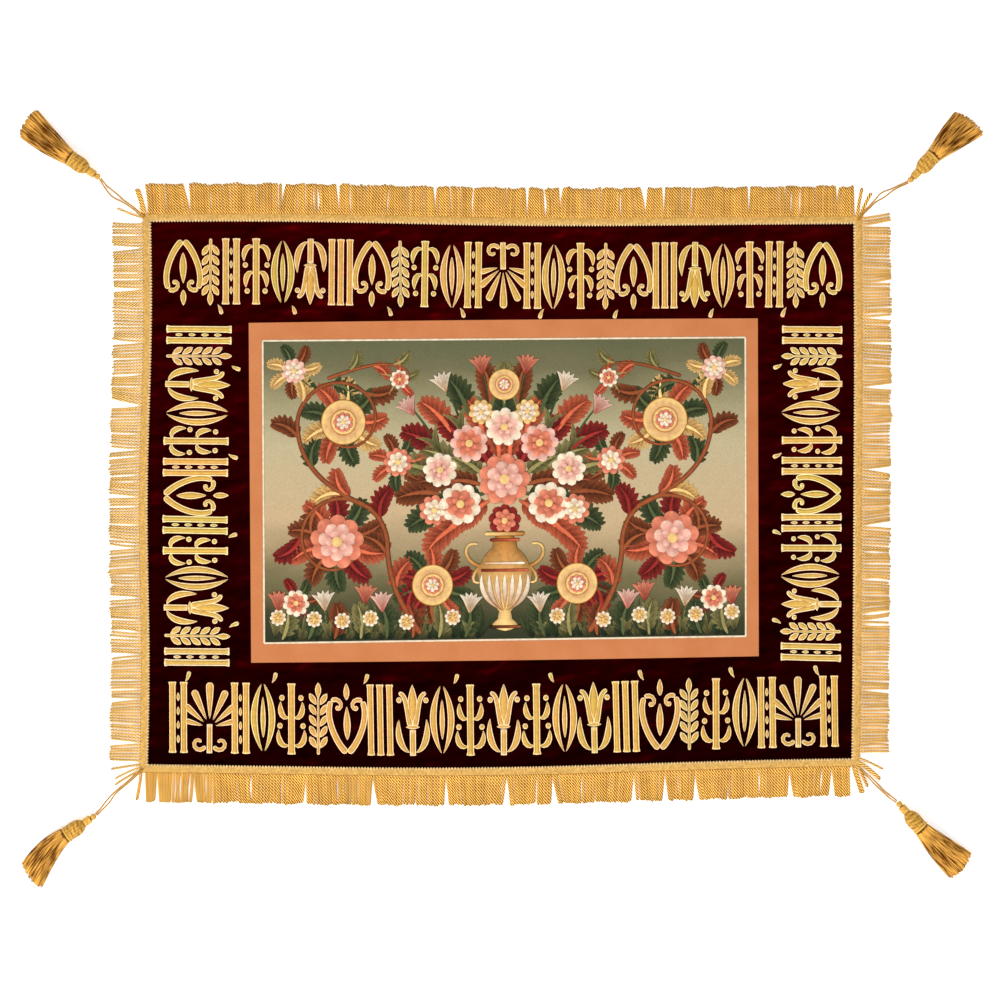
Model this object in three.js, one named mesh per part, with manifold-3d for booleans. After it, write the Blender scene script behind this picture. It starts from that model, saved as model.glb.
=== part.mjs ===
// An embroidered shroud cloth, laid out flat: a velvet ground with a stiff cloth panel sewn at its centre,
// a woven heading with twisted fringe along each side, and a tassel on a doubled cord at each corner.
// Millimetres. +X runs along the long side, +Y to the upper edge, +Z up from the table at z = 0.
import * as THREE from "three";
import { mergeVertices } from "three/addons/utils/BufferGeometryUtils.js";
import Module from "manifold-3d";

const wasm = await Module();
wasm.setup();

// Driving dimensions
const clearance = 0.3; // between pieces that lie on or beside each other
const velvet_thickness = 2.2;
const velvet_under_heading = 8.5;
const panel_thickness = 1.1;
const heading_width = 11;
const heading_thickness = 1.6;
const fringe_thickness = 2.4;
const lock_pitch = 10.4; // one lock stands for three or four twisted cords
const lock_gap = 1;
const cord_diameter = 1.3;
const strand_spacing = 1.7; // between the two strands of a doubled cord, centre to centre

const velvet_top = velvet_thickness;
const heading_bottom = velvet_top + clearance;

// Corners of the velvet that shows inside the heading, and of the panel sewn on it
const velvet_corners = {
  top_left: { x: -351, y: 277 },
  top_right: { x: 351, y: 275 },
  bottom_right: { x: 349, y: -259 },
  bottom_left: { x: -354, y: -265 },
};
const panel_corners = [
  { x: -250.7, y: -163.5 },
  { x: 256.3, y: -157 },
  { x: 255.3, y: 180.5 },
  { x: -253.2, y: 176 },
];

// The four sides, clockwise. Bow, sway and ripple are the half waves, in and out, that each edge has.
const sides = [
  { name: "top", from: "top_left", to: "top_right", bow: -1.9, sway: 1.1, ripple: 0.7, fringe: 27 },
  { name: "right", from: "top_right", to: "bottom_right", bow: 1.3, sway: 0.1, ripple: 0.2, fringe: 26 },
  { name: "bottom", from: "bottom_right", to: "bottom_left", bow: 5.3, sway: -0.7, ripple: -0.6, fringe: 27 },
  { name: "left", from: "bottom_left", to: "top_left", bow: 0.3, sway: 0.2, ripple: -1.4, fringe: 28 },
];

// The gaps that show in each side's fringe: where the cords part, along the side, and how far their tips
// lean just before and just after it. The first and last rows are the ends of the side's even fringe.
const fringe_gaps = {
  top: [
    { at: -3, before: 0, after: -4.5 },
    { at: 39, before: -10, after: -4 },
    { at: 131, before: -2, after: 2 },
    { at: 188, before: -3, after: 1.5 },
    { at: 286, before: -2.5, after: 2 },
    { at: 377, before: -1.5, after: 2 },
    { at: 409, before: -2, after: 3 },
    { at: 493, before: -4, after: 3 },
    { at: 513, before: -1.5, after: 2.5 },
    { at: 597, before: -2, after: 2 },
    { at: 684, before: -2, after: 1.5 },
    { at: 703, before: 0, after: 0 },
  ],
  right: [
    { at: -7, before: 0, after: -4 },
    { at: 4, before: -4, after: 1 },
    { at: 58, before: -2.5, after: 2 },
    { at: 93, before: -2, after: 3 },
    { at: 163, before: -2, after: 2.5 },
    { at: 246, before: -4, after: 4 },
    { at: 303, before: -3.5, after: 3 },
    { at: 396, before: -2.5, after: 2 },
    { at: 466, before: -2, after: 2.5 },
    { at: 529, before: 1.5, after: 0 },
  ],
  bottom: [
    { at: 2, before: 0, after: -1 },
    { at: 21, before: -3, after: 3 },
    { at: 63, before: -3, after: 4 },
    { at: 156, before: -4, after: 4 },
    { at: 188, before: -4, after: 3.5 },
    { at: 216, before: -3, after: 2 },
    { at: 298, before: -4.5, after: 3.5 },
    { at: 344, before: -4, after: 4 },
    { at: 405, before: -2, after: 2 },
    { at: 477, before: -4.5, after: 4 },
    { at: 545, before: -2, after: 1.5 },
    { at: 656, before: -3, after: 3 },
    { at: 694, before: -3, after: 2.5 },
    { at: 706, before: 0, after: 0 },
  ],
  left: [
    { at: 2, before: 0, after: 0 },
    { at: 22, before: -2, after: 2.5 },
    { at: 66, before: -2.5, after: 2 },
    { at: 109, before: -3, after: 2 },
    { at: 165, before: -2, after: 3 },
    { at: 215, before: -3, after: 2 },
    { at: 268, before: -2, after: 2.5 },
    { at: 313, before: -3, after: 2 },
    { at: 359, before: -4, after: 4 },
    { at: 420, before: -2.5, after: 3 },
    { at: 474, before: -3, after: 2 },
    { at: 517, before: -3, after: 3 },
    { at: 541, before: 0, after: 0 },
  ],
};

// Stray cords that splay from the corners
const strays = [
  { side: "top", at: -7, lean: -7, reach: 22, width: 4 },
  { side: "top", at: 705.8, lean: 4.5, reach: 25, width: 2 },
  { side: "top", at: 709.2, lean: 10.5, reach: 20, width: 1.8 },
  { side: "right", at: 534, lean: 11, reach: 21, width: 2.4 },
  { side: "right", at: 539, lean: 16, reach: 18, width: 3.6 },
  { side: "bottom", at: -2.5, lean: -8, reach: 24, width: 4.4 },
  { side: "bottom", at: -7.6, lean: -8.5, reach: 18, width: 1.8 },
  { side: "bottom", at: 710, lean: 4.5, reach: 25, width: 2 },
  { side: "left", at: -0.6, lean: -4.5, reach: 26, width: 2 },
  { side: "left", at: -3.8, lean: -11, reach: 22, width: 2.2 },
  { side: "left", at: -7, lean: -14, reach: 22, width: 2 },
  { side: "left", at: 546, lean: 9.5, reach: 23, width: 2 },
];

// Soft ripples in the velvet border, round the corners of the stiff panel
const ripples = [
  { x: -304, y: 181, turn: 18, long: 94, wide: 40, high: 1.4 },
  { x: 305, y: 186, turn: -16, long: 92, wide: 40, high: 1.4 },
  { x: 304, y: -170, turn: 20, long: 88, wide: 38, high: 1.2 },
  { x: -301, y: -182, turn: -24, long: 90, wide: 38, high: 1.3 },
  { x: -120, y: -188, turn: 2, long: 150, wide: 34, high: 1 },
  { x: 120, y: 205, turn: -2, long: 160, wide: 32, high: 0.9 },
];

// Each corner's doubled cord: the line between its two strands, and how far they open into an eye.
// Its last point is at the knot on the tassel's head.
const corner_cords = {
  top_left: [
    { x: -357.5, y: 281.2, z: 5.1, open: 0 },
    { x: -362.6, y: 285.7, z: 4.9, open: 0 },
    { x: -370.3, y: 291.9, z: 3.6, open: 0 },
    { x: -376.9, y: 296.4, z: 2.6, open: 0.3 },
    { x: -388.7, y: 304.5, z: 1.2, open: 3.2 },
    { x: -395.3, y: 311.1, z: 2.2, open: 1.4 },
    { x: -399.4, y: 316.9, z: 4.4, open: 0 },
    { x: -401.1, y: 319.7, z: 5.6, open: 0 },
  ],
  top_right: [
    { x: 355.5, y: 278.6, z: 5.1, open: 0 },
    { x: 359.6, y: 284.6, z: 4.9, open: 0 },
    { x: 366.5, y: 291.2, z: 3.4, open: 0 },
    { x: 372.1, y: 297, z: 2.2, open: 0.4 },
    { x: 380.6, y: 303.9, z: 1.2, open: 3.4 },
    { x: 389.9, y: 309.2, z: 1.2, open: 0.6 },
    { x: 396.1, y: 312.3, z: 2.8, open: 0 },
    { x: 405.2, y: 316.2, z: 5.6, open: 0 },
  ],
  bottom_left: [
    { x: -359.5, y: -269.5, z: 5.1, open: 0 },
    { x: -365.7, y: -275.6, z: 4.7, open: 0 },
    { x: -374.9, y: -283.8, z: 3.8, open: 0 },
    { x: -383, y: -290.4, z: 2.6, open: 0 },
    { x: -388.1, y: -295, z: 1.6, open: 0.3 },
    { x: -393.4, y: -301.6, z: 1.4, open: 1.5 },
    { x: -400.4, y: -309.8, z: 3, open: 0.6 },
    { x: -405.1, y: -315, z: 5.6, open: 0 },
  ],
  bottom_right: [
    { x: 357.3, y: -269.5, z: 5.1, open: 0 },
    { x: 364.4, y: -275.6, z: 4.6, open: 0 },
    { x: 370.6, y: -281.7, z: 3.4, open: 0.6 },
    { x: 375, y: -286.2, z: 2.4, open: 0.8 },
    { x: 380.8, y: -291.9, z: 1.6, open: 0 },
    { x: 386.8, y: -297, z: 2.4, open: 0.8 },
    { x: 393.6, y: -302, z: 5.6, open: 0 },
  ],
};

// The tassels: where the knot's end is, the way the head points, the way to the middle of the skirt's cut
// end, the way that end faces, in degrees, the skirt's length, and its spread beside the usual one
const tassels = {
  top_left: { x: -401.4, y: 320.1, head: 146, skirt: 140.3, cut: 147, length: 57, spread: 0.93 },
  top_right: { x: 405.6, y: 316.5, head: 46.5, skirt: 42.6, cut: 52, length: 51, spread: 1.06 },
  bottom_left: { x: -405.5, y: -315.4, head: 213.5, skirt: 229.7, cut: 218, length: 55, spread: 0.94 },
  bottom_right: { x: 394.1, y: -302.3, head: -48, skirt: -43.4, cut: -40, length: 56.5, spread: 0.97 },
};

// A tassel's head: the knot, the bound ferrule, the bulb and the collar, as radii along its axis
const head_profile = [
  { along: 0, radius: 1.2 },
  { along: 2.6, radius: 3 },
  { along: 5.4, radius: 1.8 },
  { along: 6, radius: 4 },
  { along: 13, radius: 4 },
  { along: 14, radius: 3.4 },
  { along: 16.5, radius: 5.6 },
  { along: 21, radius: 7.6 },
  { along: 26, radius: 8 },
  { along: 32.4, radius: 7.4 },
  { along: 33.2, radius: 8.2 },
  { along: 37.4, radius: 8.2 },
];
const head_sides = 12;
const head_pitch = 4; // degrees that the head's axis rises towards its skirt
const bulb_along = 26;
const bulb_height = 8.1; // of the axis over the table, where the bulb rests

// A tassel's skirt, from inside the collar to the cut ends: how far apart the locks are, and their
// bottom and top over the table
const skirt_locks = 8;
const skirt_start = 34;
const skirt_stations = [
  { share: 0, pitch: 1.7, bottom: 3.6, top: 13.6 },
  { share: 0.2, pitch: 2.3, bottom: 1.8, top: 15 },
  { share: 0.55, pitch: 3.4, bottom: 0.3, top: 11.5 },
  { share: 1, pitch: 4.5, bottom: 0, top: 8 },
];
const skirt_gap = 0.4;

const materials = {
  velvet: new THREE.MeshStandardMaterial({ color: 0x3a0204, roughness: 0.95, metalness: 0 }),
  printed_panel: new THREE.MeshStandardMaterial({ color: 0xd2a878, roughness: 0.8, metalness: 0 }),
  gold_thread: new THREE.MeshStandardMaterial({ color: 0xdcac5c, roughness: 0.5, metalness: 0.2 }),
  gold_cord: new THREE.MeshStandardMaterial({ color: 0xc9963f, roughness: 0.5, metalness: 0.2 }),
};

// Small helpers
const lerp = THREE.MathUtils.lerp;
const radians = THREE.MathUtils.degToRad;

// A box of unit steps whose every vertex place(u, v, w) puts where it belongs, u, v and w going 0 to 1
function bent_box(steps_u, steps_v, steps_w, place) {
  const geometry = new THREE.BoxGeometry(1, 1, 1, steps_u, steps_v, steps_w);
  const points = geometry.getAttribute("position");
  for (let i = 0; i < points.count; i++) {
    const [x, y, z] = place(points.getX(i) + 0.5, points.getY(i) + 0.5, points.getZ(i) + 0.5);
    points.setXYZ(i, x, y, z);
  }
  return geometry;
}

function solid_of(geometry) {
  const bare = geometry.clone();
  bare.deleteAttribute("normal");
  bare.deleteAttribute("uv");
  const merged = mergeVertices(bare, 1e-4);
  return new wasm.Manifold(
    new wasm.Mesh({
      numProp: 3,
      vertProperties: merged.getAttribute("position").array,
      triVerts: new Uint32Array(merged.index.array),
    }),
  );
}

function joined(geometries) {
  const mesh = wasm.Manifold.union(geometries.map(solid_of)).getMesh();
  const geometry = new THREE.BufferGeometry();
  geometry.setAttribute("position", new THREE.BufferAttribute(mesh.vertProperties, 3));
  geometry.setIndex(new THREE.BufferAttribute(mesh.triVerts, 1));
  geometry.computeVertexNormals();
  return geometry;
}

function named_mesh(name, geometry, material) {
  const mesh = new THREE.Mesh(geometry, material);
  mesh.name = name;
  return mesh;
}

// A point beside one side of the cloth: along it from its first corner, and out from the velvet's edge
function beside(side, along, out) {
  const from = velvet_corners[side.from];
  const to = velvet_corners[side.to];
  const length = Math.hypot(to.x - from.x, to.y - from.y);
  const run = { x: (to.x - from.x) / length, y: (to.y - from.y) / length };
  const share = THREE.MathUtils.clamp(along / length, 0, 1) * Math.PI;
  const wave =
    side.bow * Math.sin(share) + side.sway * Math.sin(2 * share) + side.ripple * Math.sin(3 * share);
  return {
    x: from.x + run.x * along - run.y * (wave + out),
    y: from.y + run.y * along + run.x * (wave + out),
  };
}

function side_length(side) {
  const from = velvet_corners[side.from];
  const to = velvet_corners[side.to];
  return Math.hypot(to.x - from.x, to.y - from.y);
}

// The velvet ground
function ripple_height(x, y) {
  let height = 0;
  for (const ripple of ripples) {
    const turn = radians(ripple.turn);
    const dx = x - ripple.x;
    const dy = y - ripple.y;
    const along = (dx * Math.cos(turn) + dy * Math.sin(turn)) / (ripple.long / 2);
    const across = (dy * Math.cos(turn) - dx * Math.sin(turn)) / (ripple.wide / 2);
    if (Math.abs(along) < 1 && Math.abs(across) < 1)
      height += ripple.high * (1 - along ** 2) ** 2 * (1 - across ** 2) ** 2;
  }
  return height;
}

// Grid lines lie close together in the border, where the ripples are, and wide apart under the panel
const border_steps = 7;
const middle_steps = 4;
const ground_steps = 2 * border_steps + middle_steps;

function ground_share(share, border_share) {
  const step = share * ground_steps;
  if (step <= border_steps) return (step / border_steps) * border_share;
  if (step >= border_steps + middle_steps)
    return 1 - ((ground_steps - step) / border_steps) * border_share;
  return lerp(border_share, 1 - border_share, (step - border_steps) / middle_steps);
}

function ground() {
  const [top, right, bottom, left] = sides;
  const out = velvet_under_heading;
  const place = (u, v, w) => {
    const across = ground_share(u, 0.16);
    const up = ground_share(v, 0.2);
    const reach = (side, share) => beside(side, lerp(-out, side_length(side) + out, share), out);
    const high = reach(top, across);
    const low = reach(bottom, 1 - across);
    const west = reach(left, up);
    const east = reach(right, 1 - up);
    const corners = {
      south_west: reach(bottom, 1),
      south_east: reach(bottom, 0),
      north_west: reach(top, 0),
      north_east: reach(top, 1),
    };
    const blend = (key) =>
      lerp(low[key], high[key], up) +
      lerp(west[key], east[key], across) -
      lerp(
        lerp(corners.south_west[key], corners.south_east[key], across),
        lerp(corners.north_west[key], corners.north_east[key], across),
        up,
      );
    const x = blend("x");
    const y = blend("y");
    return [x, y, ripple_height(x, y) + w * velvet_thickness];
  };
  return named_mesh(
    "velvet_ground",
    bent_box(ground_steps, ground_steps, 1, place),
    materials.velvet,
  );
}

// The stiff centre panel, whose long edges bow a little
function panel() {
  const [south_west, south_east, north_east, north_west] = panel_corners;
  const bow = 0.8;
  const place = (u, v, w) => [
    lerp(lerp(south_west.x, south_east.x, u), lerp(north_west.x, north_east.x, u), v),
    lerp(lerp(south_west.y, south_east.y, u), lerp(north_west.y, north_east.y, u), v) +
      bow * Math.sin(u * Math.PI) * (2 * v - 1),
    velvet_top + clearance + w * panel_thickness,
  ];
  return named_mesh("centre_panel", bent_box(8, 2, 1, place), materials.printed_panel);
}

// The heading: a woven braid laid over the velvet's edge, its ends cut at the corners' diagonals
function heading(side) {
  const steps = 14;
  const length = side_length(side);
  const margin = clearance;
  return bent_box(steps, 1, 1, (u, v, w) => {
    const out = v * heading_width;
    const along = lerp(margin - out, length + out - margin, u);
    const point = beside(side, along, out);
    return [point.x, point.y, heading_bottom + w * heading_thickness];
  });
}

// How far the tips lean along the side, at a place between the gaps before and after it
function tip_lean(gaps, along, from_side) {
  const fade = 12;
  let lean = 1.2 * Math.sin(along / 17) + 0.9 * Math.sin(along / 7.3 + 2);
  for (const gap of gaps) {
    const away = along - gap.at;
    if (away > 0 || (away === 0 && from_side > 0)) lean += gap.after * Math.exp(-away / fade);
    else lean += gap.before * Math.exp(away / fade);
  }
  return lean;
}

// One lock of fringe: its root in the heading, its bend down to the table and its tip
const lock_stations = [
  { out: heading_width - 2, share: 0, bottom: heading_bottom + 0.2, top: heading_bottom + 1.4 },
  { out: heading_width + 6, share: 0.18, bottom: 0, top: fringe_thickness },
  { out: null, share: 1, bottom: 0, top: fringe_thickness - 0.4 },
];

function lock(side, root, tip, reach) {
  return bent_box(1, lock_stations.length - 1, 1, (u, v, w) => {
    const station = lock_stations[Math.round(v * (lock_stations.length - 1))];
    const out = station.out === null ? heading_width + reach : station.out;
    const start = lerp(root.start, tip.start, station.share);
    const end = lerp(root.end, tip.end, station.share);
    const point = beside(side, lerp(start, end, u), out);
    return [point.x, point.y, lerp(station.bottom, station.top, w)];
  });
}

function even_locks(side) {
  const gaps = fringe_gaps[side.name];
  const breaks = gaps.map((gap) => gap.at);
  const locks = [];
  for (let k = 0; k + 1 < breaks.length; k++) {
    const count = Math.max(1, Math.round((breaks[k + 1] - breaks[k]) / lock_pitch));
    for (let i = 0; i < count; i++) {
      const start = lerp(breaks[k], breaks[k + 1], i / count);
      const end = lerp(breaks[k], breaks[k + 1], (i + 1) / count);
      const root = { start: start + lock_gap / 2, end: end - lock_gap / 2 };
      const tip = {
        start: root.start + tip_lean(gaps, start, 1),
        end: root.end + tip_lean(gaps, end, -1),
      };
      const uneven = 0.8 * Math.sin(start * 1.7);
      locks.push(lock(side, root, tip, side.fringe + uneven));
    }
  }
  return locks;
}

function stray_locks(side) {
  return strays
    .filter((stray) => stray.side === side.name)
    .map((stray) => {
      const root = { start: stray.at - stray.width / 2, end: stray.at + stray.width / 2 };
      const tip = { start: root.start + stray.lean, end: root.end + stray.lean };
      return lock(side, root, tip, stray.reach);
    });
}

function fringe(side) {
  return named_mesh(
    "fringe_" + side.name,
    joined([heading(side), ...even_locks(side), ...stray_locks(side)]),
    materials.gold_thread,
  );
}

// The tassels, each modelled along +X from the end of its knot, then turned to its place
function axis_height(along) {
  return bulb_height + (along - bulb_along) * Math.sin(radians(head_pitch));
}

function tassel_head() {
  const profile = [
    new THREE.Vector2(0, head_profile[0].along),
    ...head_profile.map((row) => new THREE.Vector2(row.radius, row.along)),
    new THREE.Vector2(0, head_profile.at(-1).along),
  ];
  return new THREE.LatheGeometry(profile, head_sides)
    .rotateZ(-Math.PI / 2)
    .rotateY(-radians(head_pitch))
    .translate(0, 0, axis_height(0));
}

function skirt_lock(index, place) {
  const side = index - (skirt_locks - 1) / 2;
  const outer = (2 * side) / (skirt_locks - 1);
  const bend = radians(place.skirt - place.head);
  const cut = radians(place.cut - place.head);
  const length = place.length + Math.sin(5 * index + place.x);
  const middle = new THREE.QuadraticBezierCurve(
    new THREE.Vector2(skirt_start, 0),
    new THREE.Vector2(skirt_start + 0.4 * length, 0),
    new THREE.Vector2(skirt_start + length * Math.cos(bend), length * Math.sin(bend)),
  );
  return bent_box(1, skirt_stations.length - 1, 1, (u, v, w) => {
    const station = skirt_stations[Math.round(v * (skirt_stations.length - 1))];
    const pitch = station.pitch * lerp(1, place.spread, station.share);
    const width = pitch - skirt_gap;
    const across = -side * pitch + lerp(width / 2, -width / 2, u);
    const point = middle.getPoint(station.share);
    const facing = cut * station.share;
    const lowered = (station.top - station.bottom) * 0.3 * outer ** 2;
    const raised = lowered * (1 - station.share);
    const z = lerp(station.bottom + raised, station.top - lowered, w);
    return [point.x - Math.sin(facing) * across, point.y + Math.cos(facing) * across, z];
  });
}

function tassel(corner) {
  const place = tassels[corner];
  const locks = Array.from({ length: skirt_locks }, (_, index) => skirt_lock(index, place));
  const mesh = named_mesh(
    "tassel_" + corner,
    joined([tassel_head(), ...locks]),
    materials.gold_thread,
  );
  mesh.position.set(place.x, place.y, 0);
  mesh.rotation.z = radians(place.head);
  return mesh;
}

// The doubled cords that hold the tassels
function cord_section() {
  const shape = new THREE.Shape();
  const corners = 8;
  for (let i = 0; i < corners; i++) {
    const angle = (2 * Math.PI * i) / corners;
    const x = (cord_diameter / 2) * Math.cos(angle);
    const y = (cord_diameter / 2) * Math.sin(angle);
    if (i === 0) shape.moveTo(x, y);
    else shape.lineTo(x, y);
  }
  shape.closePath();
  return shape;
}

function strand_route(points, hand) {
  return points.map((point, i) => {
    const before = points[Math.max(0, i - 1)];
    const after = points[Math.min(points.length - 1, i + 1)];
    const length = Math.hypot(after.x - before.x, after.y - before.y);
    const offset = (hand * (strand_spacing + point.open)) / 2;
    return new THREE.Vector3(
      point.x - ((after.y - before.y) / length) * offset,
      point.y + ((after.x - before.x) / length) * offset,
      point.z,
    );
  });
}

function cord(corner, strand, hand) {
  const route = new THREE.CatmullRomCurve3(strand_route(corner_cords[corner], hand));
  const step = 2.8 * cord_diameter;
  const geometry = new THREE.ExtrudeGeometry(cord_section(), {
    steps: Math.ceil(route.getLength() / step),
    bevelEnabled: false,
    extrudePath: route,
  });
  return named_mesh("cord_" + corner + "_" + strand, geometry, materials.gold_cord);
}

const shroud = new THREE.Group();
shroud.add(ground(), panel());
for (const side of sides) shroud.add(fringe(side));
for (const corner of Object.keys(tassels)) {
  shroud.add(tassel(corner), cord(corner, "a", 1), cord(corner, "b", -1));
}

export default shroud;
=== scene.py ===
"""An embroidered shroud cloth, laid out flat on a pale floor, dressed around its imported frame.

Plan sizes are in millimetres, as in the part: x along the long side, y to the upper edge, z up from
the floor. MM makes them metres when a mesh is made.
"""

import bpy
import numpy as np
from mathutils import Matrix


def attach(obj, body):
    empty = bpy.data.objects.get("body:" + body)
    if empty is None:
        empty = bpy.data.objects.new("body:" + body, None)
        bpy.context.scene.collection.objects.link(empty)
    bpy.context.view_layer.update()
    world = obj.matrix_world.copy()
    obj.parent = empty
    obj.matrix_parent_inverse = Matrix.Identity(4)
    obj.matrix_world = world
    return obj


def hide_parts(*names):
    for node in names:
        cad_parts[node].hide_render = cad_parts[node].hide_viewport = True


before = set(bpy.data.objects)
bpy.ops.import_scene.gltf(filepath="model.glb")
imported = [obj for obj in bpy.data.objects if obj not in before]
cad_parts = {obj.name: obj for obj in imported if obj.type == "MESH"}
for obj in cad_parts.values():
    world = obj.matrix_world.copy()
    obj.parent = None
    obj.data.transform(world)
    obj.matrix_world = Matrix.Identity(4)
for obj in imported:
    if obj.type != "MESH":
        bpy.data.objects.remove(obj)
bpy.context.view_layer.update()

MM = 0.001
chance = np.random.default_rng(7)

# Camera: straight above, its view 1 metre wide on the floor
view_width = 1000
view_centre = (-2.2, -0.95)
lens = 85
sensor = 36

# The cloth, its headings and its fringe, as in the part
velvet_top = 2.2
velvet_under_heading = 8.5
panel_bottom = 2.5
panel_top = 3.6
heading_width = 11
woven_width = 8.4
cord_diameter = 1.3
strand_spacing = 1.7

velvet_corners = {
    "top_left": (-351, 277),
    "top_right": (351, 275),
    "bottom_right": (349, -259),
    "bottom_left": (-354, -265),
}
panel_corners = ((-250.7, -163.5), (256.3, -157), (255.3, 180.5), (-253.2, 176))
picture_corners = ((-237.6, -143.95), (243.3, -136.95), (242.8, 161.45), (-239.2, 158.05))

# The four sides, clockwise: the half waves of each edge, and the fringe's length past the heading
sides = {
    "top": {"from": "top_left", "to": "top_right", "waves": (-1.9, 1.1, 0.7), "fringe": 27},
    "right": {"from": "top_right", "to": "bottom_right", "waves": (1.3, 0.1, 0.2), "fringe": 26},
    "bottom": {"from": "bottom_right", "to": "bottom_left", "waves": (5.3, -0.7, -0.6), "fringe": 27},
    "left": {"from": "bottom_left", "to": "top_left", "waves": (0.3, 0.2, -1.4), "fringe": 28},
}

# Gaps in each side's fringe: where along the side, and the tips' lean just before and just after it
fringe_gaps = {
    "top": (
        (-3, 0, -4.5), (39, -10, -4), (131, -2, 2), (188, -3, 1.5), (286, -2.5, 2), (377, -1.5, 2),
        (409, -2, 3), (493, -4, 3), (513, -1.5, 2.5), (597, -2, 2), (684, -2, 1.5), (703, 0, 0),
    ),
    "right": (
        (-7, 0, -4), (4, -4, 1), (58, -2.5, 2), (93, -2, 3), (163, -2, 2.5), (246, -4, 4),
        (303, -3.5, 3), (396, -2.5, 2), (466, -2, 2.5), (529, 1.5, 0),
    ),
    "bottom": (
        (2, 0, -1), (21, -3, 3), (63, -3, 4), (156, -4, 4), (188, -4, 3.5), (216, -3, 2),
        (298, -4.5, 3.5), (344, -4, 4), (405, -2, 2), (477, -4.5, 4), (545, -2, 1.5), (656, -3, 3),
        (694, -3, 2.5), (706, 0, 0),
    ),
    "left": (
        (2, 0, 0), (22, -2, 2.5), (66, -2.5, 2), (109, -3, 2), (165, -2, 3), (215, -3, 2),
        (268, -2, 2.5), (313, -3, 2), (359, -4, 4), (420, -2.5, 3), (474, -3, 2), (517, -3, 3),
        (541, 0, 0),
    ),
}

# The cords of each side: how far apart they are sewn, how thick they are, the fewest in a clump and one
# more than the most, how far a clump's tips draw together, and the paleness of their painted highlight
cord_kinds = {
    "top": {"pitch": 3.03, "radius": 1.78, "clump": (4, 10), "drawn": 0.035, "painted_paleness": 0.0},
    "right": {"pitch": 3.15, "radius": 1.36, "clump": (3, 8), "drawn": 0.07, "painted_paleness": 0.6},
    "bottom": {"pitch": 3.03, "radius": 1.76, "clump": (4, 9), "drawn": 0.045, "painted_paleness": 0.0},
    "left": {"pitch": 3.15, "radius": 1.26, "clump": (3, 7), "drawn": 0.08, "painted_paleness": 1.0},
}

# Stray cords at the corners: side, place along it, lean of the tips, reach past the heading, width
strays = (
    ("top", -7, -7, 22, 4),
    ("top", 705.8, 4.5, 25, 2),
    ("top", 709.2, 10.5, 20, 1.8),
    ("right", 534, 11, 21, 2.4),
    ("right", 539, 16, 18, 3.6),
    ("bottom", -2.5, -8, 24, 4.4),
    ("bottom", -7.6, -8.5, 18, 1.8),
    ("bottom", 710, 4.5, 25, 2),
    ("left", -0.6, -4.5, 26, 2),
    ("left", -3.8, -11, 22, 2.2),
    ("left", -7, -14, 22, 2),
    ("left", 546, 9.5, 23, 2),
)

# Soft ripples in the velvet border: centre, turn in degrees, length, width and height
ripples = (
    (-304, 181, 18, 94, 40, 1.4),
    (305, 186, -16, 92, 40, 1.4),
    (304, -170, 20, 88, 38, 1.2),
    (-301, -182, -24, 90, 38, 1.3),
    (-120, -188, 2, 150, 34, 1),
    (120, 205, -2, 160, 32, 0.9),
)

# Each corner's doubled cord: x, y and z of the line between its strands, and how far they open
corner_cords = {
    "top_left": (
        (-357.5, 281.2, 5.1, 0), (-362.6, 285.7, 4.9, 0), (-370.3, 291.9, 3.6, 0),
        (-376.9, 296.4, 2.6, 0.3), (-388.7, 304.5, 1.2, 3.2), (-395.3, 311.1, 2.2, 1.4),
        (-399.4, 316.9, 4.4, 0), (-401.1, 319.7, 5.6, 0),
    ),
    "top_right": (
        (355.5, 278.6, 5.1, 0), (359.6, 284.6, 4.9, 0), (366.5, 291.2, 3.4, 0),
        (372.1, 297, 2.2, 0.4), (380.6, 303.9, 1.2, 3.4), (389.9, 309.2, 1.2, 0.6),
        (396.1, 312.3, 2.8, 0), (405.2, 316.2, 5.6, 0),
    ),
    "bottom_left": (
        (-359.5, -269.5, 5.1, 0), (-365.7, -275.6, 4.7, 0), (-374.9, -283.8, 3.8, 0),
        (-383, -290.4, 2.6, 0), (-388.1, -295, 1.6, 0.3), (-393.4, -301.6, 1.4, 1.5),
        (-400.4, -309.8, 3, 0.6), (-405.1, -315, 5.6, 0),
    ),
    "bottom_right": (
        (357.3, -269.5, 5.1, 0), (364.4, -275.6, 4.6, 0), (370.6, -281.7, 3.4, 0.6),
        (375, -286.2, 2.4, 0.8), (380.8, -291.9, 1.6, 0), (386.8, -297, 2.4, 0.8),
        (393.6, -302, 5.6, 0),
    ),
}

# The tassels: the knot's end, the way the head points, the way to the middle of the skirt's cut end,
# the way that end faces, in degrees, the skirt's length, and its spread beside the usual one
tassels = {
    "top_left": {
        "knot": (-401.4, 320.1), "head": 146, "skirt": 140.3, "cut": 147, "length": 57, "spread": 0.93,
    },
    "top_right": {
        "knot": (405.6, 316.5), "head": 46.5, "skirt": 42.6, "cut": 52, "length": 51, "spread": 1.06,
    },
    "bottom_left": {
        "knot": (-405.5, -315.4), "head": 213.5, "skirt": 229.7, "cut": 218, "length": 55, "spread": 0.94,
    },
    "bottom_right": {
        "knot": (394.1, -302.3), "head": -48, "skirt": -43.4, "cut": -40, "length": 56.5, "spread": 0.97,
    },
}

# How many degrees a tassel's head tips up, where its bulb is thickest, how high its middle lies there,
# and where its skirt starts
head_pitch = 4
bulb_along = 26
bulb_height = 8.1
skirt_start = 34

# Nothing of a cord or a tassel comes nearer to the floor than this
floor_gap = 0.05

# How bright the lights make a white surface, beside a picture's full white
daylight = 1.3


def tone(red, green, blue):
    """The surface colour that shows under the lights as this colour of a picture, 0 to 255."""
    share = np.array([red, green, blue]) / 255
    return np.where(share <= 0.04045, share / 12.92, ((share + 0.055) / 1.055) ** 2.4) / daylight


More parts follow.
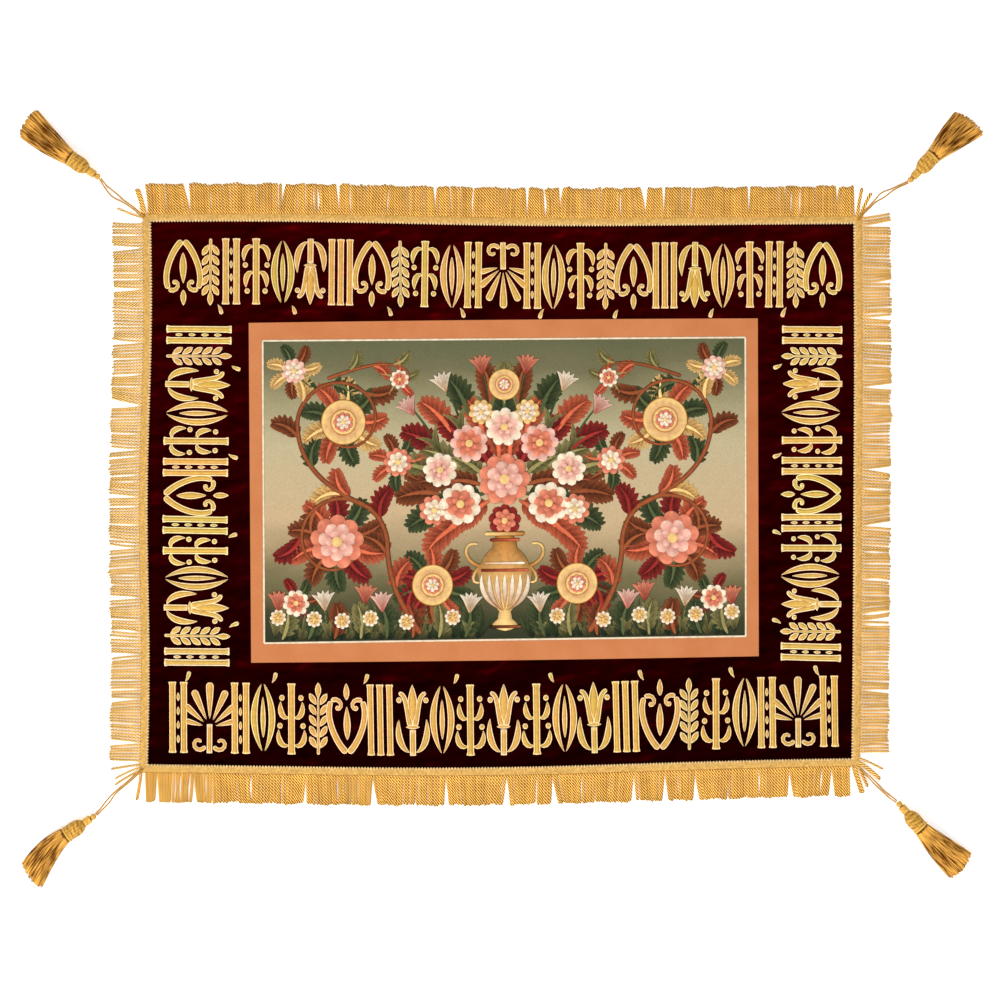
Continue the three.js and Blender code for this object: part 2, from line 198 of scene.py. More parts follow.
def mixed(first, second, share):
    """The colours between two, at each share."""
    return first + (second - first) * np.asarray(share)[..., None]


# Camera, light and floor
def camera():
    data = bpy.data.cameras.new("camera")
    data.lens = lens
    data.sensor_width = sensor
    distance = view_width * lens / sensor
    eye = bpy.data.objects.new("camera", data)
    eye.location = (view_centre[0] * MM, view_centre[1] * MM, distance * MM)
    bpy.context.scene.collection.objects.link(eye)
    bpy.context.scene.camera = eye


def soft_box(name, place, size, watts):
    """A square soft light that faces the cloth's middle."""
    data = bpy.data.lights.new(name, "AREA")
    data.size = size
    data.energy = watts
    lamp = bpy.data.objects.new(name, data)
    lamp.location = place
    lamp.rotation_euler = (-lamp.location).to_track_quat("-Z", "Y").to_euler()
    bpy.context.scene.collection.objects.link(lamp)


def studio():
    world = bpy.data.worlds.new("studio")
    world.use_nodes = True
    sky = world.node_tree.nodes["Background"]
    sky.inputs["Color"].default_value = (1, 1, 1, 1)
    sky.inputs["Strength"].default_value = 0.43
    bpy.context.scene.world = world
    bpy.context.scene.view_settings.view_transform = "Standard"
    soft_box("key", (-1.6, -2.4, 3.8), 1.4, 200)
    soft_box("fill", (1.4, 1.6, 3.6), 2.2, 42)
    mesh = bpy.data.meshes.new("floor")
    mesh.from_pydata([(-6, -6, 0), (6, -6, 0), (6, 6, 0), (-6, 6, 0)], [], [(0, 1, 2, 3)])
    floor = bpy.data.objects.new("floor", mesh)
    recipe = Recipe("floor", 0.9, 0.1)
    recipe.set({"Base Color": (0.96, 0.96, 0.96, 1)})
    recipe.set({"Emission Color": (1, 1, 1, 1), "Emission Strength": 0.42})
    mesh.materials.append(recipe.material)
    bpy.context.scene.collection.objects.link(floor)


# Materials
class Recipe:
    """A material, with short ways to set its shader and add the nodes that feed it."""

    def __init__(self, name, roughness, gloss, gloss_tint=(1, 1, 1)):
        self.material = bpy.data.materials.new(name)
        self.material.use_nodes = True
        self.tree = self.material.node_tree
        self.shader = self.tree.nodes["Principled BSDF"]
        self.set({"Roughness": roughness, "Specular IOR Level": gloss, "Specular Tint": (*gloss_tint, 1)})

    def set(self, values):
        self.join(self.shader, values)

    def join(self, node, values):
        for socket, value in values.items():
            if isinstance(value, bpy.types.NodeSocket):
                self.tree.links.new(value, node.inputs[socket])
            else:
                node.inputs[socket].default_value = value

    def node(self, kind, values, **settings):
        made = self.tree.nodes.new("ShaderNode" + kind)
        for name, value in settings.items():
            setattr(made, name, value)
        self.join(made, values)
        return made

    def place(self, stretch=(1, 1, 1), shift=(0, 0, 0)):
        """The object's own place in millimetres, divided by stretch and shifted."""
        where = self.node("TexCoord", {}).outputs["Object"]
        scale = tuple(1 / (MM * s) for s in stretch)
        return self.node("Mapping", {"Vector": where, "Scale": scale, "Location": shift}).outputs["Vector"]

    def axis(self, where, name):
        return self.node("SeparateXYZ", {0: where}).outputs[name]

    def carried(self, name, kind):
        return self.node("Attribute", {}, attribute_name=name).outputs[kind]

    def laid(self, name):
        """What the mesh says of its threads at each point: X across them and Y along them."""
        return self.axis(self.carried("laid", "Vector"), name)

    def noise(self, size, detail=2.0, stretch=(1, 1, 1), shift=(0, 0, 0)):
        where = self.place(stretch, shift)
        return self.node("TexNoise", {"Vector": where, "Scale": 1 / size, "Detail": detail}).outputs["Fac"]

    def math(self, operation, first, second=0.0):
        return self.node("Math", {0: first, 1: second}, operation=operation).outputs[0]

    def between(self, value, low, high, from_low=0.0, from_high=1.0):
        """The value, from_low to from_high, made low to high and kept inside them."""
        values = {"From Min": from_low, "From Max": from_high, "To Min": low, "To Max": high}
        return self.node("MapRange", {"Value": value, **values}).outputs["Result"]

    def times(self, first, second):
        return self.math("MULTIPLY", first, second)

    def patches(self, size, low, high, detail=2.0):
        """Soft patches of this size, lighter and darker between low and high."""
        return self.between(self.noise(size, detail), low, high, 0.3, 0.7)

    def mix(self, share, first, second, blend="MIX"):
        made = self.node("Mix", {0: share}, data_type="RGBA", blend_type=blend)
        for socket, value in ((6, first), (7, second)):
            if isinstance(value, bpy.types.NodeSocket):
                self.tree.links.new(value, made.inputs[socket])
            else:
                made.inputs[socket].default_value = (*value, 1)
        return made.outputs[2]

    def ramp(self, share, stops):
        """The colour at a share, from stops of share and colour."""
        made = self.node("ValToRGB", {"Fac": share})
        bar = made.color_ramp.elements
        bar.remove(bar[1])
        for index, (place, colour) in enumerate(stops):
            stop = bar[0] if index == 0 else bar.new(place)
            stop.position = place
            stop.color = (*colour, 1)
        return made.outputs["Color"]

    def bump(self, height, strength, distance):
        values = {"Height": height, "Strength": strength, "Distance": distance * MM}
        self.set({"Normal": self.node("Bump", values).outputs["Normal"]})

    def wave(self, value, period):
        """A sine of the value, -1 to 1, that comes back every period."""
        return self.math("SINE", self.times(value, 2 * np.pi / period))

    def paint(self, colour, shade):
        """The surface's colour, darkened or lightened by a shade."""
        self.set({"Base Color": self.mix(1, colour, shade, "MULTIPLY")})

    def paint_tints(self, shade):
        """The mesh's own tints, darkened or lightened by a shade."""
        self.paint(self.carried("tint", "Color"), shade)


def velvet_finish():
    """Deep pile, painted darker towards the lower edge as shade, with painted light and shade on the two
    sides of small folds.
    """
    recipe = Recipe("velvet", 1.0, 0.0)
    recipe.set({"Sheen Weight": 0.03, "Sheen Roughness": 0.4, "Sheen Tint": (*tone(190, 0, 10), 1)})
    stretch = (1.8, 1, 1)
    here = recipe.noise(24, 2.5, stretch)
    beside_it = recipe.noise(24, 2.5, stretch, (1.4, -3.2, 0))
    # painted light and shade: the difference of two shifted noises makes one side of each small fold lighter
    # and the other darker
    painted_fold_light = recipe.between(recipe.math("SUBTRACT", here, beside_it), 0, 1, -0.11, 0.13)
    stops = (
        (0.0, tone(28, 0, 0)), (0.3, tone(38, 0, 0)), (0.65, tone(47, 0, 1)), (0.88, tone(60, 0, 2)),
        (1.0, tone(78, 0, 3)),
    )
    # painted shade and light: lit makes the velvet darker towards its lower edge and lighter towards its top
    lit = recipe.between(recipe.axis(recipe.place(), "Y"), 0.42, 1.4, -265, 277)
    nap = recipe.noise(0.9)
    recipe.paint(recipe.ramp(painted_fold_light, stops), recipe.times(recipe.between(nap, 0.75, 1.25, 0.25, 0.75), lit))
    recipe.bump(recipe.math("ADD", nap, recipe.times(here, 4)), 0.3, 0.5)
    return recipe.material


def heading_finish():
    """Woven heading: fine ribs across it and a mottled weave."""
    recipe = Recipe("gimp_heading", 0.6, 0.2, (1, 0.75, 0.4))
    ribs = recipe.wave(recipe.laid("X"), 1.5)
    shots = recipe.wave(recipe.laid("Y"), 1.6)
    weave = recipe.times(recipe.times(ribs, shots), 0.35)
    height = recipe.math("ADD", weave, recipe.noise(1.5))
    mottle = recipe.between(height, 0.56, 1.38, 0.1, 0.9)
    recipe.paint_tints(recipe.times(mottle, recipe.patches(2.4, 0.8, 1.2, 3.0)))
    recipe.bump(height, 0.5, 0.3)
    return recipe.material


def thread_finish(name, roughness, twisted=False):
    """Metallic thread: the mesh's own tints, a little uneven, with painted shade between the plies of a
    twist.
    """
    recipe = Recipe(name, roughness, 0.25, (1, 0.66, 0.2))
    grain = recipe.noise(0.5)
    shade = recipe.times(recipe.between(grain, 0.84, 1.14), recipe.patches(9, 0.9, 1.1))
    if twisted:
        # painted shade: dark in each groove between the plies, full colour on the ply backs
        from_groove = recipe.math("ABSOLUTE", recipe.math("SUBTRACT", recipe.laid("X"), 0.5))
        painted_groove_shade, flank, ply = (0.1, 0.03, 0.0), (0.3, 0.14, 0.02), (0.92, 0.78, 0.5)
        stops = ((0.0, painted_groove_shade), (0.4, flank), (0.75, ply), (1.0, (1, 1, 1)))
        painted_ply_shade = recipe.ramp(recipe.between(from_groove, 0, 1, 0, 0.5), stops)
        shade = recipe.mix(1, painted_ply_shade, shade, "MULTIPLY")
    recipe.paint_tints(shade)
    recipe.bump(grain, 0.3, 0.2)
    return recipe.material


def satin_finish():
    """Satin stitch in metallic thread: fine threads across each ribbon."""
    recipe = Recipe("satin_stitch", 0.45, 0.35, (1, 0.8, 0.45))
    drift = recipe.times(recipe.noise(3), 0.5)
    threads = recipe.wave(recipe.math("ADD", recipe.laid("Y"), drift), 0.62)
    shade = recipe.between(threads, 0.9, 1.06, -1, 0.4)
    recipe.paint_tints(recipe.times(shade, recipe.patches(4, 0.9, 1.12)))
    recipe.bump(threads, 0.4, 0.2)
    return recipe.material


def motif_finish():
    """The panel's motifs: fine stitches laid along each leaf and petal."""
    recipe = Recipe("motif_stitch", 0.7, 0.08)
    drift = recipe.times(recipe.noise(4), 1.2)
    threads = recipe.wave(recipe.math("ADD", recipe.laid("X"), drift), 0.9)
    shade = recipe.between(threads, 0.94, 1.04, -1, 1)
    recipe.paint_tints(recipe.times(shade, recipe.patches(5, 0.84, 1.16, 3.0)))
    recipe.bump(threads, 0.2, 0.12)
    return recipe.material


def canvas_bump(recipe):
    """A plain weave's relief."""
    across, along = (recipe.wave(recipe.axis(recipe.place(), name), 0.8) for name in ("X", "Y"))
    height = recipe.math("ADD", recipe.times(across, along), recipe.noise(1.2))
    recipe.bump(height, 0.2, 0.15)


def border_finish():
    """The panel's plain border, a stiff woven cloth."""
    recipe = Recipe("panel_border", 0.8, 0.15)
    cloudy = recipe.patches(30, 0, 1, 3.0)
    colour = recipe.mix(cloudy, tone(212, 129, 77), tone(220, 139, 87))
    recipe.paint(colour, recipe.patches(0.8, 0.95, 1.05))
    canvas_bump(recipe)
    return recipe.material


def ground_finish():
    """The picture's ground: grey green at the top, sand in the middle and deep green at the foot."""
    recipe = Recipe("picture_ground", 0.8, 0.15)
    cloudy = recipe.between(recipe.noise(38, 4.0, (2, 1, 1)), -11, 11, 0.25, 0.75)
    upward = recipe.math("ADD", recipe.axis(recipe.place(), "Y"), cloudy)
    stops = (
        (0.0, tone(40, 46, 28)), (0.1, tone(62, 64, 40)), (0.22, tone(122, 112, 76)),
        (0.42, tone(212, 182, 140)), (0.66, tone(203, 187, 147)), (0.79, tone(168, 158, 119)),
        (0.9, tone(120, 115, 82)), (1.0, tone(103, 104, 73)),
    )
    colour = recipe.ramp(recipe.between(upward, 0, 1, -149, 161), stops)
    recipe.paint(colour, recipe.patches(1.5, 0.92, 1.08, 3.0))
    canvas_bump(recipe)
    return recipe.material


# Meshes
class Gathered:
    """Points and faces gathered from many small forms, to make one mesh of them."""

    def __init__(self):
        self.points = []
        self.tints = []
        self.laid = []
        self.faces = []
        self.count = 0

    def add(self, points, face_blocks, tints=(1, 1, 1), laid=None):
        total = len(points)
        self.points.append(points)
        self.tints.append(np.broadcast_to(tints, (total, 3)))
        flat = np.zeros((total, 3))
        flat[:, :2] = points[:, :2] if laid is None else laid
        self.laid.append(flat)
        for block in face_blocks:
            self.faces.extend((block + self.count).tolist())
        self.count += total

    def piece(self, name, material, slot):
        mesh = bpy.data.meshes.new(name)
        mesh.from_pydata((np.concatenate(self.points) * MM).tolist(), [], self.faces)
        colours = np.ones((self.count, 4))
        colours[:, :3] = np.concatenate(self.tints)
        mesh.color_attributes.new("tint", "FLOAT_COLOR", "POINT").data.foreach_set("color", colours.ravel())
        laid = mesh.attributes.new("laid", "FLOAT_VECTOR", "POINT")
        laid.data.foreach_set("vector", np.concatenate(self.laid).ravel())
        mesh.shade_smooth()
        mesh.materials.append(material)
        made = bpy.data.objects.new(name, mesh)
        bpy.context.scene.collection.objects.link(made)
        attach(made, "root")
        return made


def ring_faces(rings, size):
    """Quads between rings of size points each, and the two ends' own faces."""
    here = np.arange(size)
    after = (here + 1) % size
    start = size * np.arange(rings - 1)[:, None]
    quads = np.stack([start + here, start + after, start + size + after, start + size + here], axis=-1)
    first = here[::-1][None, :]
    last = here[None, :] + size * (rings - 1)
    return [quads.reshape(-1, 4), first, last]


def inside_out(face_blocks):
    """The same faces, each turned over."""
    return [block[:, ::-1] for block in face_blocks]


def unit(vectors):
    return vectors / np.maximum(np.linalg.norm(vectors, axis=-1, keepdims=True), 1e-9)


def tubes(paths, radii, section, turns):
    """Closed tubes: paths (tubes, rings, 3), radii (tubes, rings, points or 1), a section of unit
    points (points, 2), and how far it is turned at each ring. Gives all points, and the faces."""
    forward = unit(np.gradient(paths, axis=1))
    left = unit(np.cross([0, 0, 1], forward))
    up = np.cross(forward, left)
    cos = np.cos(turns)[:, :, None]
    sin = np.sin(turns)[:, :, None]
    across = (section[:, 0] * cos - section[:, 1] * sin) * radii
    rise = (section[:, 0] * sin + section[:, 1] * cos) * radii
    points = paths[:, :, None] + across[..., None] * left[:, :, None] + rise[..., None] * up[:, :, None]
    count, rings, size = across.shape
    offsets = (np.arange(count) * rings * size)[:, None, None]
    blocks = [(block + offsets).reshape(-1, block.shape[-1]) for block in ring_faces(rings, size)]
    return points.reshape(-1, 3), blocks


def way_at(angle):
    """The unit way at an angle in degrees, or at each of many."""
    return np.stack([np.cos(np.radians(angle)), np.sin(np.radians(angle))], axis=-1)


def left_of(ways):
    """The ways a quarter turn to the left of these."""
    return np.stack([-ways[..., 1], ways[..., 0]], axis=-1)


def round_section(points):
    """Points evenly set on a circle of radius 1."""
    return way_at(360 * np.arange(points) / points)


# A twisted cord has one ply at each point of its section
four_plies = round_section(4)
ply_marks = np.array([0, 1, 0, 1])


def across_plies(rings):
    """What the points of so many rings of twisted cord carry: 0 and 1 in turn on the plies, so a half lies
    in each groove, where the finish paints shade."""
    return np.column_stack([np.tile(ply_marks, rings), np.zeros(4 * rings)])


# Places beside and on the cloth
def side_line(side):
    """Where a side starts, the way it runs, and its length."""
    start, end = (np.array(velvet_corners[side[key]], float) for key in ("from", "to"))
    length = np.linalg.norm(end - start)
    return start, (end - start) / length, length


def beside(side, along, out):
    """Points along a side from its first corner, and out from the velvet's edge."""
    start, run, length = side_line(side)
    share = np.clip(along / length, 0, 1) * np.pi
    wave = sum(size * np.sin((k + 1) * share) for k, size in enumerate(side["waves"])) + out
    return start + run * along[..., None] + left_of(run) * wave[..., None]


def ripple_height(x, y):
    """How far the ripples lift the cloth at a place."""
    height = np.zeros_like(x)
    for centre_x, centre_y, turn, length, width, high in ripples:
        cos, sin = way_at(turn)
        along = ((x - centre_x) * cos + (y - centre_y) * sin) / (length / 2)
        across = ((y - centre_y) * cos - (x - centre_x) * sin) / (width / 2)
        inside = (np.abs(along) < 1) & (np.abs(across) < 1)
        height += np.where(inside, high * (1 - along**2) ** 2 * (1 - across**2) ** 2, 0)
    return height


# Corner cords
def strand_route(points, hand):
    """One strand of a doubled cord, beside the line between the two."""
    points = np.array(points, float)
    plan = points[:, :2]
    ends_doubled = np.vstack([plan[:1], plan, plan[-1:]])
    run = unit(ends_doubled[2:] - ends_doubled[:-2])
    offset = hand * (strand_spacing + points[:, 3:]) / 2
    return np.hstack([plan + left_of(run) * offset, points[:, 2:3]])


def blend(first, last, t, start, end):
    """The point at t on a line that is at first at start and at last at end."""
    return ((end - t) * first + (t - start) * last) / (end - start)


def smooth_curve(points, step):
    """A centripetal Catmull-Rom curve through the points, as points about step apart."""
    ends = np.vstack([2 * points[0] - points[1], points, 2 * points[-1] - points[-2]])
    dense = []
    for k in range(len(ends) - 3):
        four = ends[k : k + 4]
        knots = np.concatenate([[0], np.cumsum(np.linalg.norm(np.diff(four, axis=0), axis=1) ** 0.5)])
        t = np.linspace(knots[1], knots[2], 24, endpoint=False)[:, None]
        three = [blend(four[j], four[j + 1], t, knots[j], knots[j + 1]) for j in range(3)]
        two = [blend(three[j], three[j + 1], t, knots[j], knots[j + 2]) for j in range(2)]
        dense.append(blend(*two, t, knots[1], knots[2]))
    return evenly(np.vstack([*dense, points[-1:]]), step)


def gone_along(points):
    """How far along its line each point lies."""
    return np.concatenate([[0], np.cumsum(np.linalg.norm(np.diff(points, axis=0), axis=1))])


def points_at(points, away):
    """The points at these distances along a line."""
    gone = gone_along(points)
    return np.stack([np.interp(away, gone, row) for row in points.T], axis=-1)


def evenly(points, step):
    """The same line with its points about step apart."""
    length = gone_along(points)[-1]
    return points_at(points, np.linspace(0, length, max(3, round(length / step) + 1)))


def corner_cord(corner, strand, hand, material):
    """One strand, a little fuller than the solid: lay is its length for one whole twist."""
    step, lay, fullness = 0.5, 6.4, 1.3
    route = smooth_curve(strand_route(corner_cords[corner], hand), step)
    radii = np.full((1, len(route), 1), cord_diameter / 2 * fullness)
    turns = -2 * np.pi * np.arange(len(route))[None, :] * step / lay
    points, faces = tubes(route[None], radii, four_plies, turns)
    points[:, 2] = np.maximum(points[:, 2], floor_gap)
    gathered = Gathered()
    gathered.add(points, faces, tone(282, 232, 118), across_plies(len(route)))
    name = "cord_" + corner + "_" + strand
    made = gathered.piece(name + "_twisted", material, "gold_cord")
    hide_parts(name)


# Velvet
def velvet(material):
    """The velvet ground: a closed sheet between its four waved edges, turned under at the hem."""
    columns, rows = 96, 74
    across = np.linspace(0, 1, columns + 1)
    upward = np.linspace(0, 1, rows + 1)
    out = velvet_under_heading

    def edge(name, shares):
        side = sides[name]
        return beside(side, -out + shares * (side_line(side)[2] + 2 * out), out)

    high = edge("top", across)[None, :, :]
    low = edge("bottom", 1 - across)[None, :, :]
    west = edge("left", upward)[:, None, :]
    east = edge("right", 1 - upward)[:, None, :]
    s = across[None, :, None]
    t = upward[:, None, None]
    first, last = ((1 - t) * low[:, end] + t * high[:, end] for end in (slice(0, 1), slice(-1, None)))
    plan = (1 - t) * low + t * high + (1 - s) * west + s * east - ((1 - s) * first + s * last)
    x, y = plan[..., 0], plan[..., 1]
    ripple = ripple_height(x, y)
    inside = np.minimum(np.minimum(s, 1 - s), np.minimum(t, 1 - t))[..., 0]
    hem = 0.03
    settle = np.clip((inside - hem) / hem, 0, 1)
    waver = 0.16 * (np.sin(x / 17 + np.sin(y / 23) * 2) + np.sin(y / 9 + np.sin(x / 31) * 2)) * settle
    top = np.dstack([x, y, ripple + velvet_top + waver])
    bottom = np.dstack([x, y, ripple])
    size = (rows + 1) * (columns + 1)
    grid = np.arange(size).reshape(rows + 1, columns + 1)
    quads = np.stack([grid[:-1, :-1], grid[:-1, 1:], grid[1:, 1:], grid[1:, :-1]], axis=-1)
    upper = quads.reshape(-1, 4)
    rim = np.concatenate([grid[0, :-1], grid[:-1, -1], grid[-1, :0:-1], grid[:0:-1, 0]])
    after = np.roll(rim, -1)
    walls = np.stack([rim + size, after + size, after, rim], axis=-1)
    gathered = Gathered()
    points = np.vstack([top.reshape(-1, 3), bottom.reshape(-1, 3)])
    gathered.add(points, [upper, upper[:, ::-1] + size, walls])
    made = gathered.piece("velvet_cloth", material, "velvet")
    made.data.set_sharp_from_angle(angle=np.radians(50))
    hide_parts("velvet_ground")
    return made


# A heading's section: out from the velvet's edge, and over the floor
heading_section = (
    (0.0, 2.4), (-0.15, 3.3), (0.5, 3.75), (1.3, 3.75), (2.0, 3.95), (4.2, 4.1), (6.6, 4.0), (7.7, 3.7),
    (8.3, 3.2), (8.45, 2.4),
)


def heading(name, material):
    """The woven heading of one side, its ends cut at the corners' diagonals, with a picot edge."""
    side = sides[name]
    picot = 3.0
    step = picot / 4
    length = side_line(side)[2]
    rings = round(length / step)
    share = np.linspace(0, 1, rings + 1)[:, None]
    out, rise = np.array(heading_section).T[:, None, :]
    margin = 0.1
    along = (margin - out) + share * (length + 2 * out - 2 * margin)
    loops = np.abs(np.cos(np.pi * along / picot))
    edge = np.exp(-np.abs(out) / 0.7)
    pulled = out - (1.6 * loops - 1.1) * edge
    swell = 0.25 * loops * edge * (rise > 3)
    plan = beside(side, along, pulled)
    points = np.dstack([plan, rise + swell]).reshape(-1, 3)
    picots = np.interp(out, (0, 0.9, 2.2), (1, 0.8, 0)) * loops
    # painted shade: dark brown in the notches between the picot loops, where the heading meets the velvet
    painted_notch_shade = np.interp(out, (0, 0.9, 1.8), (1, 0.8, 0)) * (1 - loops)
    tints = mixed(tone(230, 180, 98), tone(278, 246, 184), picots)
    tints = tints + (tone(140, 80, 24) - tints) * painted_notch_shade[..., None]
    laid = np.dstack([along, np.broadcast_to(out, along.shape)]).reshape(-1, 2)
    gathered = Gathered()
    gathered.add(points, inside_out(ring_faces(rings + 1, len(heading_section))), tints.reshape(-1, 3), laid)
    return gathered.piece("heading_" + name, material, "gold_thread")


def tip_lean(gaps, along):
    """How far tips lean along the side, at places between the gaps."""
    lean = 1.2 * np.sin(along / 17) + 0.9 * np.sin(along / 7.3 + 2)
    fade = 12
    for at, before, after in gaps:
        away = along - at
        lean += np.where(away >= 0, after, before) * np.exp(-np.abs(away) / fade)
    return lean


def clump_middles(name, root):
    """The middle of the clump that each cord of a side belongs to."""
    fewest, most = cord_kinds[name]["clump"]
    last_cords = np.cumsum(chance.integers(fewest, most, len(root)))
    clump = np.searchsorted(last_cords, np.arange(len(root)), side="right")
    return (np.bincount(clump, root) / np.bincount(clump))[clump]


def fringe_layout(name):
    """Where each cord is rooted along the side, how far its tip leans, how far it is drawn to its clump,
    and how far it reaches past the heading."""
    gaps = fringe_gaps[name]
    start, end = gaps[0][0], gaps[-1][0]
    count = round((end - start) / cord_kinds[name]["pitch"])
    root = start + (np.arange(count) + 0.5) * (end - start) / count
    lean = tip_lean(gaps, root) + chance.normal(0, 0.15, count)
    draw = (clump_middles(name, root) - root) * cord_kinds[name]["drawn"]
    reach = sides[name]["fringe"] + 0.6 * np.sin(root * 0.17) + chance.normal(0, 0.45, count)
    rows = [np.column_stack([root, lean, draw, reach])]
    stray_pitch = 2.4
    for side, at, stray_lean, stray_reach, width in strays:
        if side == name:
            cords = max(1, round(width / stray_pitch))
            places = at + (np.arange(cords) + 0.5) / cords * width - width / 2
            rows.append(np.column_stack([places, np.tile((stray_lean, 0, stray_reach), (cords, 1))]))
    return np.vstack(rows).T[..., None]


# A cord's last rings: how far from its end each one is, and its size beside the cord's
tip_steps = np.array([1.5, 0.8, 0.3, 0.0])
tip_sizes = np.array([1.0, 0.9, 0.62, 0.2])


def fringe_paths(name):
    """The middle line of each cord of a side, how far out from the velvet's edge it goes, and the share
    of its length gone, at each of its rings."""
    root, lean, draw, reach = fringe_layout(name)
    shape = root.shape
    tucked, tip_length, body_rings = 0.9, 2.2, 36
    start = woven_width - tucked + chance.uniform(0, 0.8, shape)
    end = heading_width + reach
    body = start + np.linspace(0, 1, body_rings) * (end - tip_length - start)
    out = np.hstack([body, end - tip_steps])
    share = (out - start) / (end - start)
    bent, straight = 0.9, 0.2
    belly = chance.normal(0, np.where(chance.random(shape) < 0.1, bent, straight))
    along = root + lean * share**1.25 + draw * share**0.6 + belly * np.sin(np.pi * share)
    drop = np.clip((out - 9) / 8, 0, 1)
    fall = drop * drop * (3 - 2 * drop)
    lift = 0.5 * (np.arange(len(root)) % 2)[:, None] + chance.uniform(0, 0.4, shape)
    height = 3.15 + fall * (cord_kinds[name]["radius"] * 1.08 - 3) + lift * share
    return np.dstack([beside(sides[name], along, out), height]), out, share


def fringe(name, material):
    """One side's fringe: twisted cords that come out under the heading, drop beyond its outer edge and
    end in rounded tips. The lay is a cord's length for one whole twist."""
    kind = cord_kinds[name]
    lay = 12.8
    paths, out, share = fringe_paths(name)
    count, rings = share.shape
    sizes = np.concatenate([np.linspace(0.98, 1.02, rings - len(tip_sizes)), tip_sizes])
    radii = kind["radius"] * sizes[None, :, None] * (1 + chance.normal(0, 0.04, count))[:, None, None]
    phase = np.cumsum(chance.normal(-0.15, 0.22, count))[:, None]
    points, faces = tubes(paths, radii, four_plies, -2 * np.pi * out / lay + phase)
    points[:, 2] = np.maximum(points[:, 2], floor_gap)
    # painted highlight: the ply backs are brighter than the gold's own colour, paler on the left and right
    # sides
    gold_with_painted_highlight = mixed(tone(322, 276, 170), tone(322, 294, 214), kind["painted_paleness"])
    # painted light: the cords are lighter near the heading; they also darken towards their tips
    shade = np.interp(share, (0, 0.1, 0.3, 0.85, 1), (1.1, 1.05, 1, 0.97, 0.74))
    shade = (1 + chance.normal(0, 0.07, count))[:, None] * shade
    tints = np.repeat((gold_with_painted_highlight * shade[:, :, None]).reshape(-1, 3), 4, axis=0)
    gathered = Gathered()
    gathered.add(points, faces, tints, across_plies(shade.size))
    made = gathered.piece("fringe_cords_" + name, material, "gold_thread")
    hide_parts("fringe_" + name)
    return made


# A tassel's head: along its axis, and its radius there
head_profile = (
    (0, 1.0), (0.6, 2.2), (1.6, 2.9), (2.8, 3.1), (3.8, 2.9), (4.8, 2.2), (5.3, 1.9), (5.8, 2.6), (6.1, 3.8),
    (6.8, 4.1), (9.5, 3.95), (12.4, 4.1), (13.2, 3.9), (13.8, 3.5), (14.4, 3.9), (15.5, 5.0), (17, 6.1),
    (19, 7.1), (21.5, 7.8), (24.5, 8.0), (27.5, 7.9), (30, 7.7), (32.4, 7.5), (32.9, 7.9), (33.4, 8.4),
    (34.1, 8.5), (34.7, 8.1), (35.2, 7.3), (36, 7.1), (37.5, 7.0),
)


def tassel_axis(along):
    """The height of the head's axis: it rests on its bulb."""
    return bulb_height + (along - bulb_along) * np.sin(np.radians(head_pitch))


def turned(points, place):
    """Points modelled along +X, turned and moved to the tassel's place."""
    way = way_at(place["head"])
    plan = place["knot"] + points[:, :1] * way + points[:, 1:2] * left_of(way)
    return np.hstack([plan, points[:, 2:]])


def tassel_head(gathered, place):
    """The knot, the bound ferrule, the netted bulb and the corded collar, turned about one axis."""
    points_round, step, winding = 40, 0.7, 1.1
    knot_end, ferrule_start, bulb_start, collar_start, collar_end = 5.4, 5.8, 13.6, 32.7, 34.9
    along_rows, radius_rows = np.array(head_profile).T
    along = np.unique(np.concatenate([np.arange(0, along_rows[-1], step), along_rows]))
    radius = np.interp(along, along_rows, radius_rows)
    run = along[:, None]
    angle = (2 * np.pi * np.arange(points_round) / points_round)[None, :]
    knot = run < knot_end
    bound = (run >= ferrule_start) & (run < bulb_start)
    bulb = (run >= bulb_start) & (run < collar_start)
    collar = (run >= collar_start) & (run < collar_end)
    ridged = np.cos(12 * angle + run * 0.9)
    wound = np.sin(2 * np.pi * run / winding + angle)
    netted = np.cos(12 * angle + run * 0.6) * np.cos(12 * angle - run * 0.6)
    twisted = np.cos(16 * angle + run * 2.4)
    dip = knot * ridged + bound * wound + bulb * netted + collar * twisted
    depth = 0.16 * knot + 0.1 * bound + 0.22 * bulb + 0.16 * collar
    radii = (radius[:, None] + depth * dip)[None]
    path = np.stack([along, np.zeros_like(along), tassel_axis(along)], axis=-1)[None]
    points, faces = tubes(path, radii, round_section(points_round), np.zeros((1, len(along))))
    points[:, 2] = np.maximum(points[:, 2], floor_gap)
    # painted shade: darker rings in the grooves between knot, ferrule, bulb and collar
    groove_places = (4.8, 5.4, 6.0, 13.2, 13.8, 14.6, 32.3, 32.7, 33.2, 34.6, 35.1)
    groove_depths = (0, 1, 0, 0, 0.8, 0, 0, 0.7, 0, 0, 1)
    painted_groove_shade = np.interp(run, groove_places, groove_depths) + 0 * angle
    # painted light and shade: lighter on the raised ridges of the winding and netting and darker in their
    # dips, with random flecks
    relief_shade_and_flecks = 0.34 * dip + 0.16 * np.sin(angle * 5 + run * 1.7) + chance.normal(0, 0.13, dip.shape)
    bright = np.where(knot | bound, 0.72, np.where(collar, 0.95, 0.45)) + 0 * angle
    tints = mixed(tone(150, 92, 8), tone(266, 210, 104), np.clip(bright + relief_shade_and_flecks, 0, 1))
    tints = tints + (tone(96, 46, 0) - tints) * painted_groove_shade[..., None]
    gathered.add(turned(points, place), faces, tints.reshape(-1, 3))


